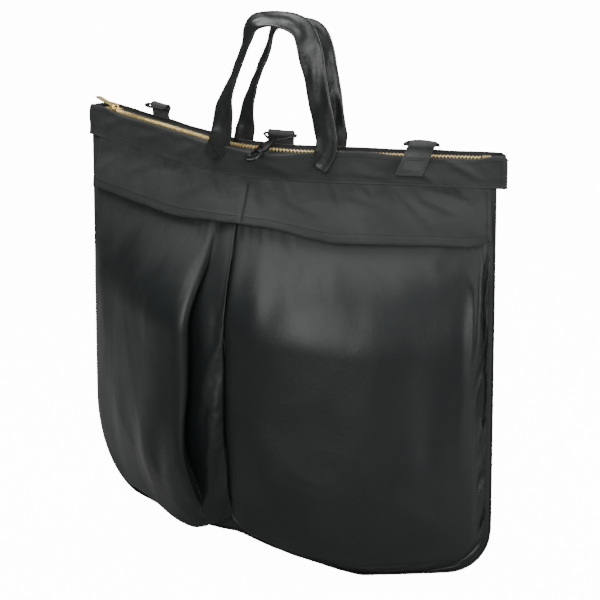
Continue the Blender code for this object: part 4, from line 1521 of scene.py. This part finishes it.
def makeHandle(word):
    cut = handles[word]
    facing, bodyName = cut["facing"], "handle_" + word
    off = bag["cloth"] / 2 + bag["gap"] + 0.001
    w = facing * (bag["edgeHalfDepth"] + off)
    spread = bag["mouthSpread"] * (facing < 0)
    ends = [place(u, w + facing * spread * spreadOf(u), bag["top"]) for u in cut["legs"]]
    across = (ends[1] - ends[0]).normalized()
    gap = (ends[1] - ends[0]).length
    rear = Vector((-across.y, across.x, 0)).normalized()
    up = across.cross(rear)
    middle = (ends[0] + ends[1]) / 2
    lean = (up + rear * cut["tilt"]).normalized()
    spine, sides, fronts, widths = [], [], [], []

    def tabPoint(u, t):
        # from the tab's lower end up to the band's edge
        h = mix(bag["top"] - handles["tabDrop"], bag["top"] + 0.001, t)
        along = u + handles["tabSlant"] * (1 - t) * 0.62
        push = max(spreadOf(along), spreadOf(u)) * spread * smooth((h - bag["seam"]) / 0.036)
        return place(along, facing * (bag["edgeHalfDepth"] + 0.0034 + push), h)

    steps, tabSteps = 84, 9
    outward = -rear if facing < 0 else rear
    for n in range(tabSteps):
        spine.append(tabPoint(cut["legs"][0], n / tabSteps))
    for n in range(steps + 1):
        t = n / steps
        x = spline(handles["across"], t) * gap / 0.123
        z = max(spline(handles["height"], t) - handles["base"], 0) * cut["tall"]
        spine.append(middle + across * x + up * handles["base"] + lean * z + outward * 0.0012)
    for n in range(tabSteps):
        spine.append(tabPoint(cut["legs"][1], 1 - (n + 1) / tabSteps))
    count = len(spine) - 1
    for n, point in enumerate(spine):
        ahead = (spine[min(n + 1, count)] - spine[max(n - 1, 0)]).normalized()
        t = clamp((n - tabSteps) / steps)
        inPlane = ahead.cross(rear).normalized()
        twist = math.radians(spline(cut["twist"], t))
        turn = Matrix.Rotation(twist, 3, ahead)
        sides.append(turn @ inPlane)
        fronts.append((turn @ ahead.cross(inPlane)).normalized())
        waver = 1 + 0.10 * noise.noise(Vector((t * 15, facing * 2.0, 0.5)))
        widths.append(handles["width"] * spline(cut["widths"], t) * waver)
    store = "handle" + word.capitalize()
    strap = strapLoft(store, spine, sides, fronts, widths, handles["thickness"], store, wobble=0.0026)
    nodes = [bodyName] + ["handle_tab_" + word + end for end in ("_left", "_right")]
    finishPiece(soften(strap), "satin", "nylon", None, nodes)
    low = middle + up * 0.004
    blendEnds = low, low + up * 0.026
    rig.blend(strap, "bag", bodyName, *blendEnds)
    # the box of stitches that holds each end to the band
    for end, lower, upper in ((0, 1, tabSteps - 2), (-1, -2, 1 - tabSteps)):
        side, front = sides[end], fronts[end]
        if front.dot(outward) < 0:
            front = -front
        reach = side * (handles["width"] / 2 - 0.004)
        lift = front * handles["thickness"] * threadDepth
        low, high = spine[lower], spine[upper]
        corners = ((low, -1), (low, 1), (high, -1), (high, 1), (low, -1))
        box = [point + reach * across + lift for point, across in corners]
        dense = []
        for p, q in zip(box, box[1:]):
            dense += [p.lerp(q, k / 12) for k in range(12)]
        addStitches(store, dense, [front] * len(dense))
    return store, bodyName, blendEnds


strapParts = [makeHandle("front"), makeHandle("rear")]
print("handles made")

# webbing loops, rings and hook

webbing = {
    "width": 0.030,
    "thickness": 0.0017,
    "eyeRadius": 0.0028,
    "eyeHeight": 0.011,
    "tail": 0.024,
    "barHalf": 0.0125,
}
loops = {
    "loop_rear_left": {"u": -0.182, "facing": 1, "slant": 0.0},
    "loop_rear_centre": {"u": 0.029, "facing": 1, "slant": 0.0},
    "loop_front_right": {"u": 0.190, "facing": -1, "slant": 0.38},
}


def eyeFrame(u, facing):
    w, top = bandTop(u, facing)
    radius = bag["bendReach"] / bag["bend"]
    hollow = webbing["width"] ** 2 / 8 / radius if facing > 0 and abs(u) < bag["bendReach"] else 0.0
    w += facing * (bag["cloth"] / 2 + bag["gap"] + 0.0016 + 0.0003 + hollow)
    return standing(u, w, top + webbing["eyeHeight"])


def makeLoop(node, cut):
    # folded webbing: up the outside, over the bar and down again
    at = eyeFrame(cut["u"], cut["facing"])
    half = webbing["thickness"] / 2
    eye = webbing["eyeRadius"] + half
    neck = half * 1.15
    tail = -webbing["eyeHeight"] - webbing["tail"]
    flat = [(neck, mix(tail, -eye * 1.1, t / 14)) for t in range(14)]
    start = -0.30 * math.pi
    for t in range(19):
        a = mix(start, math.pi - start, t / 18)
        flat.append((eye * math.cos(a), eye * math.sin(a)))
    flat += [(-neck, mix(-eye * 1.1, tail, (t + 1) / 14)) for t in range(14)]
    facing = cut["facing"]
    spine, sides, fronts, widths = [], [], [], []
    for (y, z), before, after in zip(flat, flat[:1] + flat, flat[1:] + flat[-1:]):
        dy, dz = after[0] - before[0], after[1] - before[1]
        # both tails lie outside the band, one on the other
        outward = facing * (0.0016 * smooth((-z - 0.008) / 0.006) + 0.0010)
        spine.append(at @ Vector((cut["slant"] * z, y + outward, z)))
        long = math.hypot(dy, dz)
        sides.append((at.to_3x3() @ Vector((1, 0, 0))).normalized())
        fronts.append((at.to_3x3() @ Vector((0, dz / long, -dy / long))).normalized())
        widths.append(webbing["width"])
    words = node.split("_")
    name = words[0] + words[1].capitalize() + words[2].capitalize()
    strap = strapLoft(name, spine, sides, fronts, widths, webbing["thickness"], "bag", 0.0022, 0.0002)
    finishPiece(strap, "webbing", "webbing", "bag", [node])
    # a bar of stitches just above the tail and one at the band's edge
    outer = Vector((0, facing, 0))
    edge, reach = -webbing["eyeHeight"], webbing["barHalf"]
    for z in (tail + 0.004, tail + 0.0065, edge - 0.003, edge - 0.0055):
        out = facing * (neck + half + 0.0027)
        line = [at @ Vector((cut["slant"] * z + mix(-reach, reach, t / 20), out, z)) for t in range(21)]
        addStitches("bag", line, [at.to_3x3() @ outer] * len(line))
    return strap


for loopNode, loopCut in loops.items():
    makeLoop(loopNode, loopCut)

ringWire = {"radius": 0.0015, "width": 0.038, "reach": 0.0155, "rise": math.radians(6)}


def makeRing(name, node, bodyName, loop):
    # a D of wire: the straight bar lies in the loop's eye and the bow lies over the zip
    half, facing = ringWire["width"] / 2, loop["facing"]
    flat = [(half * n / 8, 0.0) for n in range(-8, 9)]
    for n in range(1, 36):
        a = math.pi * n / 36
        flat.append((half * math.cos(a), ringWire["reach"] * math.sin(a)))
    inward = Matrix.Rotation(-facing * ringWire["rise"], 4, "X") @ Matrix.Scale(-facing, 4, (0, 1, 0))
    at = eyeFrame(loop["u"], facing) @ inward
    curve = bpy.data.curves.new(name, "CURVE")
    curve.dimensions = "3D"
    curve.bevel_depth = ringWire["radius"]
    curve.bevel_resolution = 5
    line = curve.splines.new("POLY")
    line.points.add(len(flat) - 1)
    for spot, (x, y) in zip(line.points, flat):
        spot.co = (*(at @ Vector((x, y, 0))), 1)
    line.use_cyclic_u = True
    made = bpy.data.objects.new(name, curve)
    bpy.context.scene.collection.objects.link(made)
    return finishPiece(made, "blackMetal", "black_metal", bodyName, [node])


makeRing("ringRearLeft", "ring_rear_left", "ring_left", loops["loop_rear_left"])
makeRing("ringFrontRight", "ring_front_right", "ring_right", loops["loop_front_right"])

hookLever = {
    "outline": [
        (-0.004, -0.0022), (0.006, -0.0046), (0.017, -0.0054), (0.024, -0.0050),
        (0.0245, 0.0050), (0.017, 0.0054), (0.006, 0.0044), (-0.004, 0.0024),
    ],
    "thickness": 0.0050,
    "middle": 0.010,
}


def makeHookLever():
    # the thick black lever of the hook, in the hook's own frame: ahead is towards its nose
    start = Vector(joints["hook_swivel"]["pos_m"])
    ahead = Vector(joints["hook_swivel"]["axis"]).normalized()
    gate = Vector(joints["gate_press"]["pos_m"]) - start
    side = (gate - ahead * gate.dot(ahead)).normalized()
    normal = ahead.cross(side)
    rings = []
    for level in (-0.5, -0.42, 0.42, 0.5):
        grow = 0.90 if abs(level) == 0.5 else 1.0
        ring = []
        for x, y in hookLever["outline"]:
            flat = start + ahead * mix(hookLever["middle"], x, grow) - side * y * grow
            ring.append(flat + normal * level * hookLever["thickness"])
        rings.append(ring)
    lever = loft("hookLever", rings)
    lever.data.set_sharp_from_angle(angle=math.radians(50))
    return finishPiece(lever, "blackMetal", "black_metal", "hook")


makeHookLever()
for hookNode in ("hook_bail", "hook_body", "hook_gate"):
    finishNode(hookNode, "blackMetal", 0.0007, 3, 30)
print("webbing and metal made")

# all the rows of stitches, one mesh for each body

for threadStore, threadBody, threadEnds in strapParts + [part[:3] for part in flapParts]:
    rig.blend(makeThreads(threadStore), "bag", threadBody, *threadEnds)
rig.ride(makeThreads("bag"), "bag")
print("stitches made")

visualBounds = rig.bounds()
sizes = {
    "cad": [list(corner) for corner in cadBounds],
    "visual": [list(corner) for corner in visualBounds],
}
with open("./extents.json", "w") as sizeFile:
    json.dump(sizes, sizeFile)
